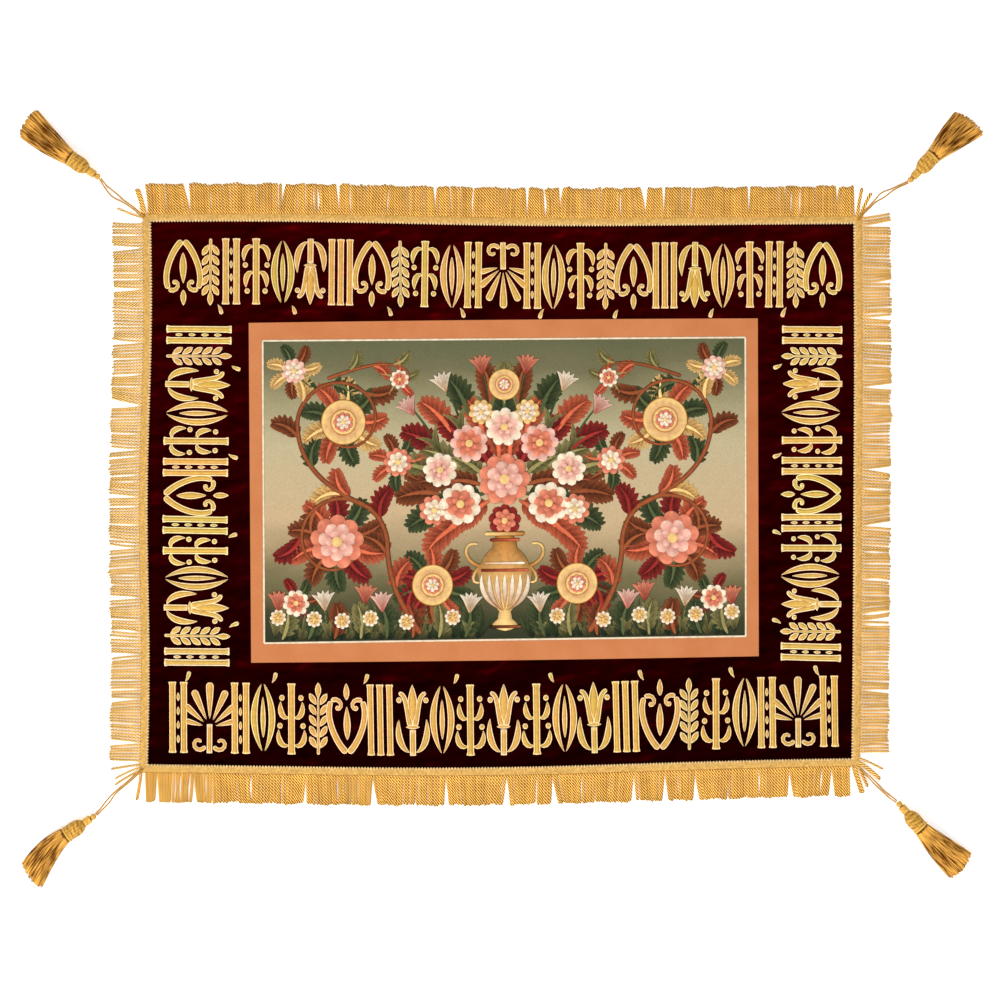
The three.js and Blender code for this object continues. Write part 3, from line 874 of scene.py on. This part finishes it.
def skirt_plan(place, share, across):
    """Points across the skirt's middle line, in the tassel's own plan, at each share of its length."""
    facing = np.radians(place["cut"] - place["head"]) * share
    length = place["length"]
    start = np.array([skirt_start, 0.0])
    middle = np.array([skirt_start + 0.4 * length, 0.0])
    end = start + length * way_at(place["skirt"] - place["head"])
    s = share[..., None]
    line = (1 - s) ** 2 * start + 2 * s * (1 - s) * middle + s**2 * end
    return line[..., 0] - np.sin(facing) * across, line[..., 1] + np.cos(facing) * across


def skirt_size(place, share):
    """The skirt's half width, its lowest and its highest point, at each share."""
    spread = 1 + (place["spread"] - 1) * share
    rows = (0, 0.07, 0.2, 0.55, 1)
    half = np.interp(share, rows, (7.0, 8.5, 9.7, 13.7, 18)) * spread
    low = np.interp(share, rows, (2.2, 0.8, 0.6, 0.1, 0.0))
    high = np.interp(share, rows, (15.6, 16.8, 15.8, 12, 8.2))
    return half, low, high


def tassel_skirt(gathered, place):
    """The skirt's threads: one layer side by side outside, and loose threads inside."""
    outer, inner, rings = 76, 50, 13
    shape = (outer + inner, 1)
    radius = 0.74
    angle = np.linspace(-0.25, np.pi + 0.25, outer) + chance.normal(0, 0.02, outer)
    angle = np.concatenate([angle, chance.uniform(-0.2, np.pi + 0.2, inner)])[:, None]
    depth = np.concatenate([chance.uniform(0.88, 1.0, outer), chance.uniform(0.7, 0.92, inner)])[:, None]
    ends = 0.98 + 0.075 * np.sin(np.clip(angle, 0, np.pi)) * depth - np.abs(chance.normal(0, 0.022, shape))
    share = np.linspace(0, 1, rings) * ends
    half, low, high = skirt_size(place, np.clip(share, 0, 1))
    around = angle + chance.normal(0, 0.03, shape) * share * (1 + share)
    around = around + 0.02 * np.sin(share * 5 + chance.uniform(0, 6, shape))
    across = np.cos(around) * depth * (half - radius)
    rise = (low + high) / 2 + np.sin(around) * depth * ((high - low) / 2 - radius)
    paths = np.dstack([*skirt_plan(place, share, across), np.maximum(rise, radius + floor_gap)])
    radii = radius * np.interp(share, (0, 0.1, 1), (0.9, 1, 1.05))[..., None]
    points, faces = tubes(paths, radii, round_section(4), np.zeros(share.shape))
    # painted shade: the inner threads are darker
    thread = chance.normal(np.where(np.arange(len(angle)) < outer, 0, -0.15), 0.2)[:, None]
    streaks = np.sin(share * chance.uniform(9, 26, shape) + chance.uniform(0, 6, shape))
    patches = np.sin(angle * 5 + share * 7 + chance.uniform(0, 6))
    # painted light along the threads: dark under the collar, a painted highlight just past it, darker in the
    # middle and lighter at the cut tips
    run = np.interp(share, (0, 0.03, 0.1, 0.22, 0.45, 0.75, 1.0), (0.1, 0.55, 0.88, 0.58, 0.26, 0.32, 0.7))
    uneven = (thread + 0.34 * streaks) * np.interp(share, (0, 0.3), (0.5, 1))
    # lit: the painted light above, with the threads' own streaks and patches
    lit = np.clip(run + 0.12 * patches + uneven, 0, 1.2)
    tints = np.repeat(mixed(tone(100, 46, 0), tone(274, 204, 96), lit), 4, axis=1)
    gathered.add(turned(points, place), faces, tints.reshape(-1, 3))


def skirt_core(gathered, place):
    """The mass of threads inside the skirt, coloured dark brown as painted shade."""
    share = np.linspace(0, 0.97, 14)[:, None]
    half, low, high = skirt_size(place, share)
    size, inset, lowest = 20, 1.3, 0.2
    section = round_section(size)
    across = -section[:, 0] * (half - inset)
    rise = (low + high) / 2 + section[:, 1] * ((high - low) / 2 - inset)
    points = np.dstack([*skirt_plan(place, share, across), np.maximum(rise, lowest)]).reshape(-1, 3)
    # painted shade: the core is dark brown
    gathered.add(turned(points, place), inside_out(ring_faces(len(share), size)), tone(96, 46, 0))


def tassel(corner, material):
    """One corner's tassel, as one piece."""
    gathered = Gathered()
    place = tassels[corner]
    tassel_head(gathered, place)
    skirt_core(gathered, place)
    tassel_skirt(gathered, place)
    made = gathered.piece("tassel_threads_" + corner, material, "gold_thread")
    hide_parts("tassel_" + corner)


# Stitched ribbons, which the bands and the panel's motifs are made of
def line(*points):
    return np.array(points, float)


def curve(start, pull, push, end):
    """A Bezier curve from start to end, drawn towards pull first and push last."""
    t = np.linspace(0, 1, 28)[:, None]
    start, pull, push, end = (np.array(p, float) for p in (start, pull, push, end))
    return (1 - t) ** 3 * start + 3 * t * (1 - t) ** 2 * pull + 3 * t * t * (1 - t) * push + t**3 * end


def spiral(centre, wide, narrow, begin, finish):
    """A spiral about centre, its radius from wide to narrow, its angle from begin to finish in degrees."""
    steps = max(8, round(abs(finish - begin) / 8))
    angle = np.linspace(begin, finish, steps)
    return centre + np.linspace(wide, narrow, steps)[:, None] * way_at(angle)


def mirrored(points):
    return points * np.array([-1, 1])


def leaf(width, fullest=0.45):
    """Half width of a leaf, pointed at both ends and fullest at that share of its length."""
    power = np.log(0.5) / np.log(fullest)
    return lambda share: width * np.sin(np.pi * share**power) ** 0.8 + 0.05


def drop(width):
    """Half width of a drop, pointed where it starts and round where it ends."""
    return lambda share: width * np.sin(share * np.pi / 2) ** 0.85 + 0.05


def even(width):
    return lambda share: width + 0 * share


def taper(first, last):
    return lambda share: first + (last - first) * share


def stem(width):
    """Half width of an upright bar, a little wider at its two ends."""
    places = (0, 0.02, 0.05, 0.95, 0.98, 1)
    return lambda share: width * np.interp(share, places, (1.3, 1.2, 1, 1, 1.2, 1.3))


def gold_section(half_width, from_end):
    """A padded satin ribbon inside a couched outline: across it, its height, and its tints."""
    outline = np.minimum(1.25, 0.5 * half_width)
    inner = half_width - outline
    rim = [half_width - share * outline for share in (0, 0.2, 0.8)]
    spots = [*rim, inner, 0.5 * inner, 0 * inner]
    across = np.stack(spots + [-spot for spot in spots[4::-1]], axis=-1)
    crown = 0.4 + 0.42 * np.minimum(half_width, 3)
    flat = 0 * crown
    heights = [flat, 0.5 + flat, 0.7 + flat, 0.42 + flat, 0.35 + 0.85 * crown, 0.35 + crown]
    height = np.stack(heights + heights[4::-1], axis=-1)
    narrow = np.clip(half_width / 1.2, 0.25, 1)[:, None]
    crest = tone(288, 254, 190)
    # painted shade: dark brown in the groove between the outline and the fill
    rows = [crest * 0.9, crest, crest, tone(178, 120, 36), tone(246, 194, 96), tone(232, 182, 78)]
    shades = np.array(rows + rows[4::-1])
    capped = np.clip(1.5 - from_end / 1.2, 0, 1)[:, None, None]
    return across, height * narrow, shades + (crest - shades) * capped


def padded(*shades):
    """A thin padded section with a fine edge, and these shades across it."""
    def section(half_width, from_end):
        inner = half_width - np.minimum(0.6, 0.28 * half_width)
        places = np.linspace(1, -1, len(shades) - 2)
        across = np.column_stack([half_width, inner[:, None] * places, -half_width])
        rises = np.concatenate([[0], 1 - 0.4 * places**2, [0]])
        crown = 0.24 + 0.05 * np.minimum(half_width, 6)
        return across, 0.1 + crown[:, None] * rises, np.array(shades)[:, None]
    return section


veined = padded(0.3, 1.12, 0.62, 0.94, 0.26)
cupped = padded(0.4, 1.0, 1.12, 0.92, 0.36)
rounded = padded(0.3, 0.72, 1.05, 1.22, 1.05, 0.72, 0.28)


def ribbon(gathered, spine, half_width, section, base, paint, step=2.4, square=False):
    """A closed ribbon along its spine, its ends round or square. The base gives the height of what it
    is stitched on, and paint is its colour, or its colours from start to end."""
    length = gone_along(spine)[-1]
    stations = max(6, round(1.2 * length / step))
    share = 0.5 - 0.5 * np.cos(np.pi * np.linspace(0, 1, stations))
    away = share * length
    centre = points_at(spine, away)
    left = left_of(unit(np.gradient(centre, axis=0)))
    width = half_width(share)
    for distance, end_width in ((away, width[0]), (length - away, width[-1])):
        rounded_off = np.clip(1 - distance / (0.3 if square else end_width), 0, 1)
        width = width * np.sqrt(np.maximum(1 - rounded_off**2, 0.6 if square else 0.002))
    across, height, shades = section(width, np.minimum(away, length - away))
    plan = centre[:, None] + across[..., None] * left[:, None]
    z = base(plan[..., 0], plan[..., 1]) + height
    points = np.dstack([plan, z]).reshape(-1, 3)
    size = across.shape[1]
    paint = np.atleast_2d(paint)
    tints = (mixed(paint[0], paint[-1], share)[:, None] * shades).reshape(-1, 3)
    laid = np.dstack([across, np.broadcast_to(away[:, None], across.shape)]).reshape(-1, 2)
    gathered.add(points, ring_faces(stations, size), tints, laid)


# The embroidered bands
class Needle:
    """Stitches a motif, drawn from its base upwards, on one side's band."""

    def __init__(self, gathered, name, along, grow):
        self.gathered = gathered
        self.side = sides[name]
        self.along = along
        self.base_out = -bands[name]["inset"]
        self.grow = grow
        self.lean = chance.normal(0, 0.008)
        # painted sheen for the band's side, with a random tone of its own
        self.shade = bands[name]["painted_gleam"] + chance.normal(0, (0.03, 0.03, 0.06))

    def place(self, points):
        dense = evenly(points, 1.5)
        along = self.along - dense[:, 0] * self.grow[0] - dense[:, 1] * self.lean
        return beside(self.side, along, self.base_out - dense[:, 1] * self.grow[1])

    def stroke(self, spine, half_width):
        ribbon(self.gathered, self.place(spine), half_width, gold_section, on_velvet, self.shade)

    def pair(self, spine, half_width):
        self.stroke(spine, half_width)
        self.stroke(mirrored(spine), half_width)

    def bar(self, x, foot, top, half_width):
        """An upright bar with square ends, and its twin where it isn't in the middle."""
        for place in {x, -x}:
            spine = self.place(line((place, foot), (place, top)))
            ribbon(self.gathered, spine, stem(half_width), gold_section, on_velvet, self.shade, 4, True)

    def ball(self, x, y, radius):
        self.pair(line((x, y - radius), (x, y + radius)), even(radius))


def on_velvet(x, y):
    """The height that stitches start from, just under the pile's top."""
    return velvet_top - 0.15 + ripple_height(x, y)


# How high the motifs are as drawn, and the half width of their main strokes
motif_height = 66
bold = 3.4


def lancet(needle):
    needle.pair(curve((0.9, 2), (11.4, 22), (11.4, 45), (0.8, motif_height)), leaf(bold, 0.5))
    needle.stroke(line((0, 15), (0, 54)), leaf(2.6))


def reeds(needle):
    needle.bar(5.6, 0, motif_height, 3.2)
    for height in (9, 22, 35, 48):
        needle.stroke(line((0, height), (0, height + 8)), leaf(1.7))


def colonnade(needle):
    needle.bar(9.4, 0, motif_height, 3.1)
    needle.bar(0, 0, motif_height, 3.1)


def candelabrum(needle):
    needle.bar(0, 0, motif_height, bold)
    for height, reach in ((9, 12.5), (35, 10.5)):
        arm = curve((2.6, height), (reach * 0.6, height - 4), (reach + 2, height + 2), (reach, height + 14))
        needle.pair(arm, leaf(3.0))
        needle.ball(reach - 1.2, height + 17.5, 2.8)


def wheat_ear(needle):
    needle.stroke(line((0, 0), (0, 54)), taper(1.6, 1.0))
    for height in (6, 16, 26, 36, 46):
        needle.pair(line((1.7, height), (8.6, height + 11)), leaf(3.2, 0.55))
    needle.stroke(line((0, 52), (0, 67)), leaf(3.2, 0.55))


def palmette(needle):
    needle.stroke(line((0, 30), (0, motif_height)), drop(3.9))
    for angle, reach, width in ((65, 38, 3.7), (40, 32, 3.4), (14, 25, 3.0)):
        needle.pair(np.array([0, 24]) + way_at(angle) * np.array([[6], [reach]]), drop(width))
    needle.bar(0, 0, 27, 2.8)
    needle.pair(spiral((10.6, 9), 7, 2.1, 200, 520), taper(2.4, 1.7))


def lily(needle):
    needle.stroke(line((0, 31), (0, motif_height)), leaf(5))
    needle.pair(curve((2, 27), (6, 42), (5.5, 58), (13.5, 58)), taper(3.2, 2.3))
    needle.ball(13.2, 51.5, 2.8)
    needle.stroke(line((-7, 26.5), (7, 26.5)), leaf(2.1, 0.5))
    needle.bar(0, 0, 24, 3.1)
    needle.pair(curve((3, 3), (10, 5), (16, 15), (13.5, 34)), leaf(bold))


def heart(needle):
    needle.pair(curve((0.9, 2), (12, 12), (22, 36), (15.4, 50)), taper(bold, 2.9))
    needle.pair(spiral((10.2, 45.4), 6.9, 3.4, 44, 260), taper(2.8, 1.4))
    needle.ball(9, 43.5, 2.4)
    needle.stroke(line((0, 14), (0, 45)), leaf(3.6))
    needle.stroke(line((0, 51), (0, 67)), leaf(3.1))


# What a motif takes of its band's length
motif_room = {
    lancet: 24, reeds: 21, colonnade: 29, candelabrum: 31, wheat_ear: 21.5, palmette: 40, lily: 34,
    heart: 36,
}

# The bands: where their middle is along the side, half their length, how far inside the velvet's edge
# they stand, their height, the painted sheen of their threads, and their motifs from the middle outwards
long_row = (reeds, lancet, candelabrum, wheat_ear, heart, colonnade, lily, lancet, candelabrum)
short_row = (heart, reeds, candelabrum, lancet, lily, wheat_ear, reeds)
# painted sheen: the left and right bands' threads are made paler
golden = np.array([1, 1, 1])
paler_by_painted_sheen = np.array([1.03, 1.09, 1.14])
bands = {
    "top": {
        "middle": 351.8, "half": 337, "inset": 17, "height": 66, "painted_gleam": golden,
        "row": (palmette, *long_row, reeds, wheat_ear, heart),
    },
    "bottom": {
        "middle": 347.2, "half": 336, "inset": 12, "height": 71, "painted_gleam": golden,
        "row": (lily, *long_row[::-1], palmette, reeds),
    },
    "left": {
        "middle": 268.5, "half": 171.5, "inset": 15, "height": 65, "painted_gleam": paler_by_painted_sheen, "row": short_row,
    },
    "right": {
        "middle": 270, "half": 169, "inset": 12, "height": 60, "painted_gleam": paler_by_painted_sheen, "row": short_row,
    },
}


def band(name, material):
    """One side's band of upright motifs, alike to both sides of its middle, with a few drops above."""
    plan = bands[name]
    gathered = Gathered()
    room = [motif_room[motif] for motif in plan["row"]]
    widen = plan["half"] / (sum(room) - room[0] / 2)
    grow = (min(widen, 1.08), plan["height"] / motif_height)

    def needle_at(away):
        return Needle(gathered, name, plan["middle"] + away, grow)

    place = 0
    for index, motif in enumerate(plan["row"]):
        if index > 0:
            place += (room[index - 1] + room[index]) / 2 * widen
        for hand in (-1, 1) if index > 0 else (1,):
            motif(needle_at(hand * place))
        if index % 3 == 1:
            edge = place + room[index] / 2 * widen
            for hand in (-1, 1):
                stroke = curve((-hand * 2.5, motif_height), (0, 68), (hand, 71), (hand * 2, 76))
                needle_at(hand * edge).stroke(stroke, drop(2.4))
    return gathered.piece("stitched_band_" + name, material, "gold_thread")


# The centre panel
def quad_point(corners, u, v):
    """Points between four corners, at shares of the way east and north."""
    south_west, south_east, north_east, north_west = (np.array(corner) for corner in corners)
    u, v = np.asarray(u)[..., None], np.asarray(v)[..., None]
    low = south_west + (south_east - south_west) * u
    high = north_west + (north_east - north_west) * u
    return low + (high - low) * v


def slab(gathered, corners, bow, low, high, soften):
    """A thin slab between four corners, its long edges bowed and its top edges softened."""
    steps = 48
    u = np.linspace(0, 1, steps + 1)
    south = quad_point(corners, u, 0 * u)
    north = quad_point(corners, u[::-1], 0 * u + 1)
    south[:, 1] -= bow * np.sin(np.pi * u)
    north[:, 1] += bow * np.sin(np.pi * u)
    v = np.linspace(0, 1, 25)[1:-1]
    east = quad_point(corners, 0 * v + 1, v)
    west = quad_point(corners, 0 * v, v[::-1])
    outline = np.vstack([south, east, north, west])
    centre = outline.mean(axis=0)
    rings = []
    for inset, z in ((0, low), (0, high - soften), (soften, high)):
        plan = outline + unit(centre - outline) * inset
        rings.append(np.column_stack([plan, np.full(len(plan), z)]))
    gathered.add(np.vstack(rings), ring_faces(3, len(outline)))


def picture_place(points):
    """Points of the picture's plan, from its middle, put on the panel."""
    half = np.array([240.0, 149.0])
    share = (np.asarray(points, float) / half + 1) / 2
    return quad_point(picture_corners, share[:, 0], share[:, 1])


def on_panel(lift):
    """The height of the panel's face, for motifs that lie over each other by lift."""
    return lambda x, y: panel_top + lift + 0 * x


def bowed(start, angle, length, bend=0.0):
    """A line of this length from start, at this angle in degrees, bowed to its left by its bend."""
    way = way_at(angle)
    side = left_of(way) * bend * length
    start = np.array(start, float)
    pulls = (start + way * length / 3 + side, start + way * length * 2 / 3 + side)
    return curve(start, *pulls, start + way * length)


def heading_at(points):
    """Each point's own direction along the line, in degrees."""
    run = np.gradient(points, axis=0)
    return np.degrees(np.arctan2(run[:, 1], run[:, 0]))


# Each family of colours, from its depth to its light
greens = (tone(22, 34, 20), tone(84, 94, 56))
olives = (tone(54, 54, 26), tone(158, 146, 90))
umbers = (tone(46, 16, 6), tone(156, 82, 46))
rusts = (tone(118, 34, 18), tone(220, 108, 72))
corals = (tone(160, 52, 38), tone(246, 150, 116))
roses = (tone(204, 100, 84), tone(255, 208, 186))
creams = (tone(214, 164, 112), tone(262, 246, 220))
honeys = (tone(184, 116, 46), tone(252, 210, 134))
wines = (tone(62, 10, 12), tone(160, 46, 40))


class Silk:
    """Stitches the panel's picture, on both sides of its middle."""

    def __init__(self):
        self.gathered = Gathered()

    def shape(self, spine, half_width, section, colours, lift=0.0, twice=True, step=3.0):
        for hand in (1, -1) if twice else (1,):
            path = evenly(spine if hand == 1 else mirrored(spine), 2.0)
            paint = np.array(colours) * (1 + chance.normal(0, 0.06))
            height = lift + chance.uniform(0, 0.08)
            ribbon(self.gathered, picture_place(path), half_width, section, on_panel(height), paint, step)

    def disc(self, centre, radius, rows, twice=True):
        """A ringed boss: rows of share of the radius, rise and colour, from the rim inwards."""
        size = 36
        angle = 2 * np.pi * np.arange(size) / size
        for hand in (1, -1) if twice else (1,):
            rings, tints = [], []
            for share, rise, colour in rows:
                x = hand * centre[0] + radius * share * np.cos(angle)
                y = centre[1] + radius * share * np.sin(angle)
                plan = picture_place(np.column_stack([x, y]))
                rings.append(np.column_stack([plan, np.full(size, panel_top + rise)]))
                tints.append(np.tile(colour, (size, 1)))
            laid = np.tile(np.column_stack([angle * radius / 2, angle * 0]), (len(rows), 1))
            self.gathered.add(np.vstack(rings), ring_faces(len(rows), size), np.vstack(tints), laid)


def acanthus(silk, start, angle, length, colours, bend=0.16, lift=0.0, twice=True):
    """A cut leaf: pointed lobes on both hands of a rib, longest a third of the way up it."""
    rib = evenly(bowed(start, angle, length, bend), length / 8)
    ways = heading_at(rib)
    for k in range(len(rib) - 2, 0, -1):
        share = k / (len(rib) - 1)
        size = length * (0.15 + 0.3 * np.sin(np.pi * share**0.75))
        for hand in (1, -1):
            lobe = bowed(rib[k], ways[k] + hand * (58 - 28 * share), size, -0.14 * hand)
            silk.shape(lobe, leaf(0.21 * size + 0.5, 0.5), veined, colours, lift, twice)
    rib_colours = (colours[1], colours[1] * 1.15)
    silk.shape(rib, leaf(0.05 * length + 0.5, 0.3), cupped, rib_colours, lift + 0.2, twice)


def blade(silk, start, angle, length, width, colours, bend=0.12, lift=0.0, twice=True):
    silk.shape(bowed(start, angle, length, bend), leaf(width, 0.42), veined, colours, lift, twice)


def rose(silk, centre, radius, outer, inner, twice=True, lift=0.5):
    """A full flower: three rings of cupped petals round a gold heart."""
    centre = np.array(centre, float)
    rows = ((9, 0.2, 0.96, 0.35, outer), (7, 0.08, 0.68, 0.29, inner), (5, 0.02, 0.4, 0.2, inner))
    for layer, (petals, near, far, width, colours) in enumerate(rows):
        turn = chance.uniform(0, 360)
        for k in range(petals):
            angle = turn + 360 * k / petals
            petal = bowed(centre + way_at(angle) * radius * near, angle, radius * (far - near), 0.05)
            silk.shape(petal, drop(width * radius), cupped, colours, lift + 0.22 * layer, twice)
    rows = ((0.2, 0.6, honeys[0]), (0.17, 1.1, honeys[1]), (0.06, 1.2, honeys[1]))
    silk.disc(centre, radius, [(share, lift + rise, colour) for share, rise, colour in rows], twice)


def sunburst(silk, centre, radius, twice=True):
    """A pale gold boss inside a fine dark rim, with a small flower on it."""
    rows = (
        (1.0, 0.3, umbers[0]), (0.96, 0.75, honeys[0]), (0.91, 0.8, honeys[1]),
        (0.6, 0.85, creams[0] * 1.2), (0.54, 0.8, honeys[0]), (0.5, 0.9, honeys[1]), (0.1, 0.95, honeys[1]),
    )
    silk.disc(centre, radius, rows, twice)
    rose(silk, centre, radius * 0.46, corals, creams, twice, 0.8)


def tulip(silk, foot, height, lean, colours):
    """A tall flower on a bowed stem, with two leaves at its foot."""
    stem = bowed(foot, 90 + lean, height, 0.05)
    silk.shape(stem, taper(1.3, 0.9), rounded, greens, 0.2)
    for hand in (1, -1):
        blade(silk, foot, 90 + hand * 24 + lean, 0.62 * height, 3.4, olives, -0.2 * hand, 0.2)
    top = stem[-1]
    for spread, width in ((34, 3.2), (-34, 3.2), (16, 3.6), (-16, 3.6), (0, 4.0)):
        blade(silk, top - (0, 4), 90 + lean + spread, 21, width, colours, -0.006 * spread, 0.4)


def leafy(silk, stem, places, length, hands, families):
    """Cut leaves along a stem, at shares of its length, on the given hands in turn."""
    ways = heading_at(stem)
    for index, share in enumerate(places):
        k = round(share * (len(stem) - 1))
        hand = hands[index % len(hands)]
        family = families[index % len(families)]
        acanthus(silk, stem[k], ways[k] + hand * 46, length, family, -0.2 * hand, 0.05)


def posy(silk, centre, radius, count, length, families, flower, *colours):
    """A flower in a ring of cut leaves."""
    for k in range(count):
        angle = 360 * k / count + 14
        start = np.array(centre) + way_at(angle) * radius / 2
        acanthus(silk, start, angle, length, families[k % len(families)], 0.14)
    flower(silk, centre, radius, *colours)


def side_scrolls(silk):
    """Two coiled stems on each side of the picture, clothed in cut leaves, with a flower in each."""
    low, high = (167, -50), (160, 68)
    rise = curve((84, -142), (98, -120), (117, -96), (117, -50))
    low_coil = evenly(np.vstack([rise, spiral(low, 50, 19, 180, -190)]), 2)
    branch = curve((132, -18), (168, -2), (206, 20), (206, 68))
    high_coil = evenly(np.vstack([branch, spiral(high, 46, 18, 0, 350)]), 2)
    last = curve((176, 111), (150, 120), (122, 130), (104, 122))
    tip = evenly(np.vstack([last, spiral((104, 110), 12, 5, 90, 330)]), 2)
    leafy(silk, low_coil, (0.06, 0.15, 0.26, 0.37, 0.48, 0.59, 0.7), 34, (1, 1, -1), (wines, rusts, umbers))
    leafy(silk, high_coil, (0.1, 0.22, 0.33, 0.44, 0.55, 0.66), 31, (-1, 1, -1), (honeys, greens, umbers))
    leafy(silk, tip, (0.2, 0.42, 0.6), 21, (-1, 1), (olives, rusts))
    for branch, first, final in ((low_coil, 3.0, 1.5), (high_coil, 2.6, 1.4), (tip, 1.9, 1.0)):
        silk.shape(branch, taper(first, final), rounded, (umbers[1], umbers[1]), 0.35)
    posy(silk, low, 28, 10, 34, (umbers, rusts, wines, greens), rose, corals, roses)
    posy(silk, high, 23, 9, 31, (greens, rusts, honeys), sunburst)
    posy(silk, (72, -94), 21, 10, 29, (wines, greens, rusts, umbers), sunburst)
    posy(silk, (208, -110), 14, 7, 18, (umbers, wines, greens), rose, creams, corals)
    posy(silk, (209, 119), 13, 7, 20, (honeys, greens, umbers), rose, roses, creams)
    posy(silk, (104, 110), 10, 5, 15, (olives, rusts), rose, creams, corals)
    posy(silk, (106, 28), 15, 7, 21, (rusts, umbers, greens), rose, corals, creams)


def bouquet(silk):
    """A wide bouquet of full flowers over a fan of leaves, at the middle of the picture."""
    families = (umbers, greens, rusts, wines, olives)
    fans = ((66, 42, 17, 80), (44, 42, 21, 88), (22, 38, 24, 78))
    for ring, (reach, length, step, start) in enumerate(fans):
        for k, angle in enumerate(range(start, -46, -step)):
            stretch = 1 + 0.22 * np.sin(np.radians(angle))
            root = np.array([0, 2]) + way_at(angle) * reach * stretch
            acanthus(silk, root, angle, length, families[(k + ring) % 5], 0.1, 0.02 * ring)
    tulips = (((14, 66), -8, corals), ((40, 52), -20, creams), ((62, 34), -32, roses))
    for place, lean, colours in tulips:
        tulip(silk, place, 52, lean, colours)
    acanthus(silk, (0, 84), 90, 40, olives, 0, 0.1, twice=False)
    flowers = (
        ((35, 46), 20, roses, corals), ((64, 20), 18, creams, roses), ((70, -20), 16, corals, creams),
        ((44, -14), 22, creams, corals), ((23, 77), 13, honeys, creams),
    )
    for centre, radius, outer, inner in flowers:
        rose(silk, centre, radius, outer, inner)
    rose(silk, (0, 62), 20, creams, roses, False)
    rose(silk, (0, 10), 27, corals, roses, False, 0.7)
    rose(silk, (0, -31), 17, wines, corals, False)
    sunburst(silk, (0, 104), 16, False)


def urn(silk):
    """A footed urn with ribs, bands and two curled handles."""
    def outline(share):
        places = (0, 0.06, 0.12, 0.2, 0.3, 0.45, 0.62, 0.78, 0.86, 0.93, 1)
        return np.interp(share, places, (19, 18, 8, 6, 14, 25, 28, 20, 13, 15, 21))

    silk.shape(line((0, -140), (0, -44)), outline, rounded, honeys[::-1], 0.4, False, 1.2)
    silk.shape(curve((24, -76), (42, -72), (44, -50), (27, -54)), taper(2.2, 1.6), rounded, honeys, 0.3)
    silk.shape(curve((24, -76), (34, -84), (34, -94), (25, -92)), taper(2.2, 1.2), rounded, honeys, 0.3)
    for k in range(-3, 4):
        rib = curve((0.8 * k, -120), (6.4 * k, -112), (8.4 * k, -98), (7.6 * k, -84))
        silk.shape(rib, leaf(2.6, 0.6), cupped, (honeys[0], creams[1]), 1.0, False)
    hoops = ((-136, 16, umbers), (-80, 24, rusts), (-73, 20, creams), (-50, 15, rusts))
    for height, half, colours in hoops:
        silk.shape(line((-half, height), (half, height)), even(1.5), rounded, colours, 1.0, False)
    silk.shape(line((-20, -44), (20, -44)), even(2.2), rounded, honeys[::-1], 0.9, False)


def meadow(silk):
    """Grass, cut leaves and standing flowers along the foot of the picture."""
    for k, place in enumerate(range(28, 228, 8)):
        for angle, length in ((118, 24), (94, 33), (70, 22)):
            wilt = 5 * np.sin(place)
            blade(silk, (place, -147), angle + wilt, length + wilt, 2.6, (greens, olives, greens)[k % 3])
    for k, place in enumerate(range(40, 236, 26)):
        family = (greens, olives, umbers)[k % 3]
        acanthus(silk, (place, -146), 90 + 10 * np.sin(place), 34, family, 0.12, 0.12)
    standing = (
        (38, 26, 6, creams), (120, 28, -4, roses), (142, 36, 4, corals), (176, 30, -6, creams),
        (229, 30, 5, corals),
    )
    for place, height, lean, colours in standing:
        tulip(silk, (place, -144), height, lean, colours)
    for place, height in ((52, -126), (98, -130), (134, -126), (162, -128), (190, -126), (226, -124)):
        rose(silk, (place, height), 8.5, creams, honeys)


def panel():
    """The stiff centre panel, its plain border, the picture's ground, its edge and its motifs."""
    cloth = Gathered()
    slab(cloth, panel_corners, 0.8, panel_bottom, panel_top, 0.3)
    made = cloth.piece("panel_cloth", border_finish(), "printed_panel")
    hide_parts("centre_panel")
    ground = Gathered()
    slab(ground, picture_corners, 0.0, panel_top - 0.2, panel_top + 0.06, 0.05)
    painted = ground.piece("picture_ground", ground_finish(), "printed_panel")
    for flat_piece in (made, painted):
        flat_piece.data.set_sharp_from_angle(angle=np.radians(40))
    edge = Gathered()
    corners = np.array(picture_corners)
    for k in range(4):
        side = evenly(corners[[k, (k + 1) % 4]], 4)
        ribbon(edge, side, even(1.1), cupped, on_panel(0.05), tone(246, 224, 192), 8, True)
    stitched = motif_finish()
    pieces = [painted, edge.piece("picture_edge", stitched, "printed_panel")]
    for layer in (meadow, side_scrolls, bouquet, urn):
        silk = Silk()
        layer(silk)
        pieces.append(silk.gathered.piece("picture_" + layer.__name__, stitched, "printed_panel"))
    return made, pieces


camera()
studio()
cord_finish = thread_finish("twisted_cord", 0.55, True)
for corner in corner_cords:
    corner_cord(corner, "a", 1, cord_finish)
    corner_cord(corner, "b", -1, cord_finish)

fringe_thread = thread_finish("fringe_thread", 0.55, True)
tassel_thread = thread_finish("tassel_thread", 0.6)
gimp = heading_finish()
stitch = satin_finish()
trims = []
for name in sides:
    trims += [heading(name, gimp), fringe(name, fringe_thread), band(name, stitch)]
for corner in tassels:
    tassel(corner, tassel_thread)

panel_cloth, panel_trims = panel()
cloth = velvet(velvet_finish())
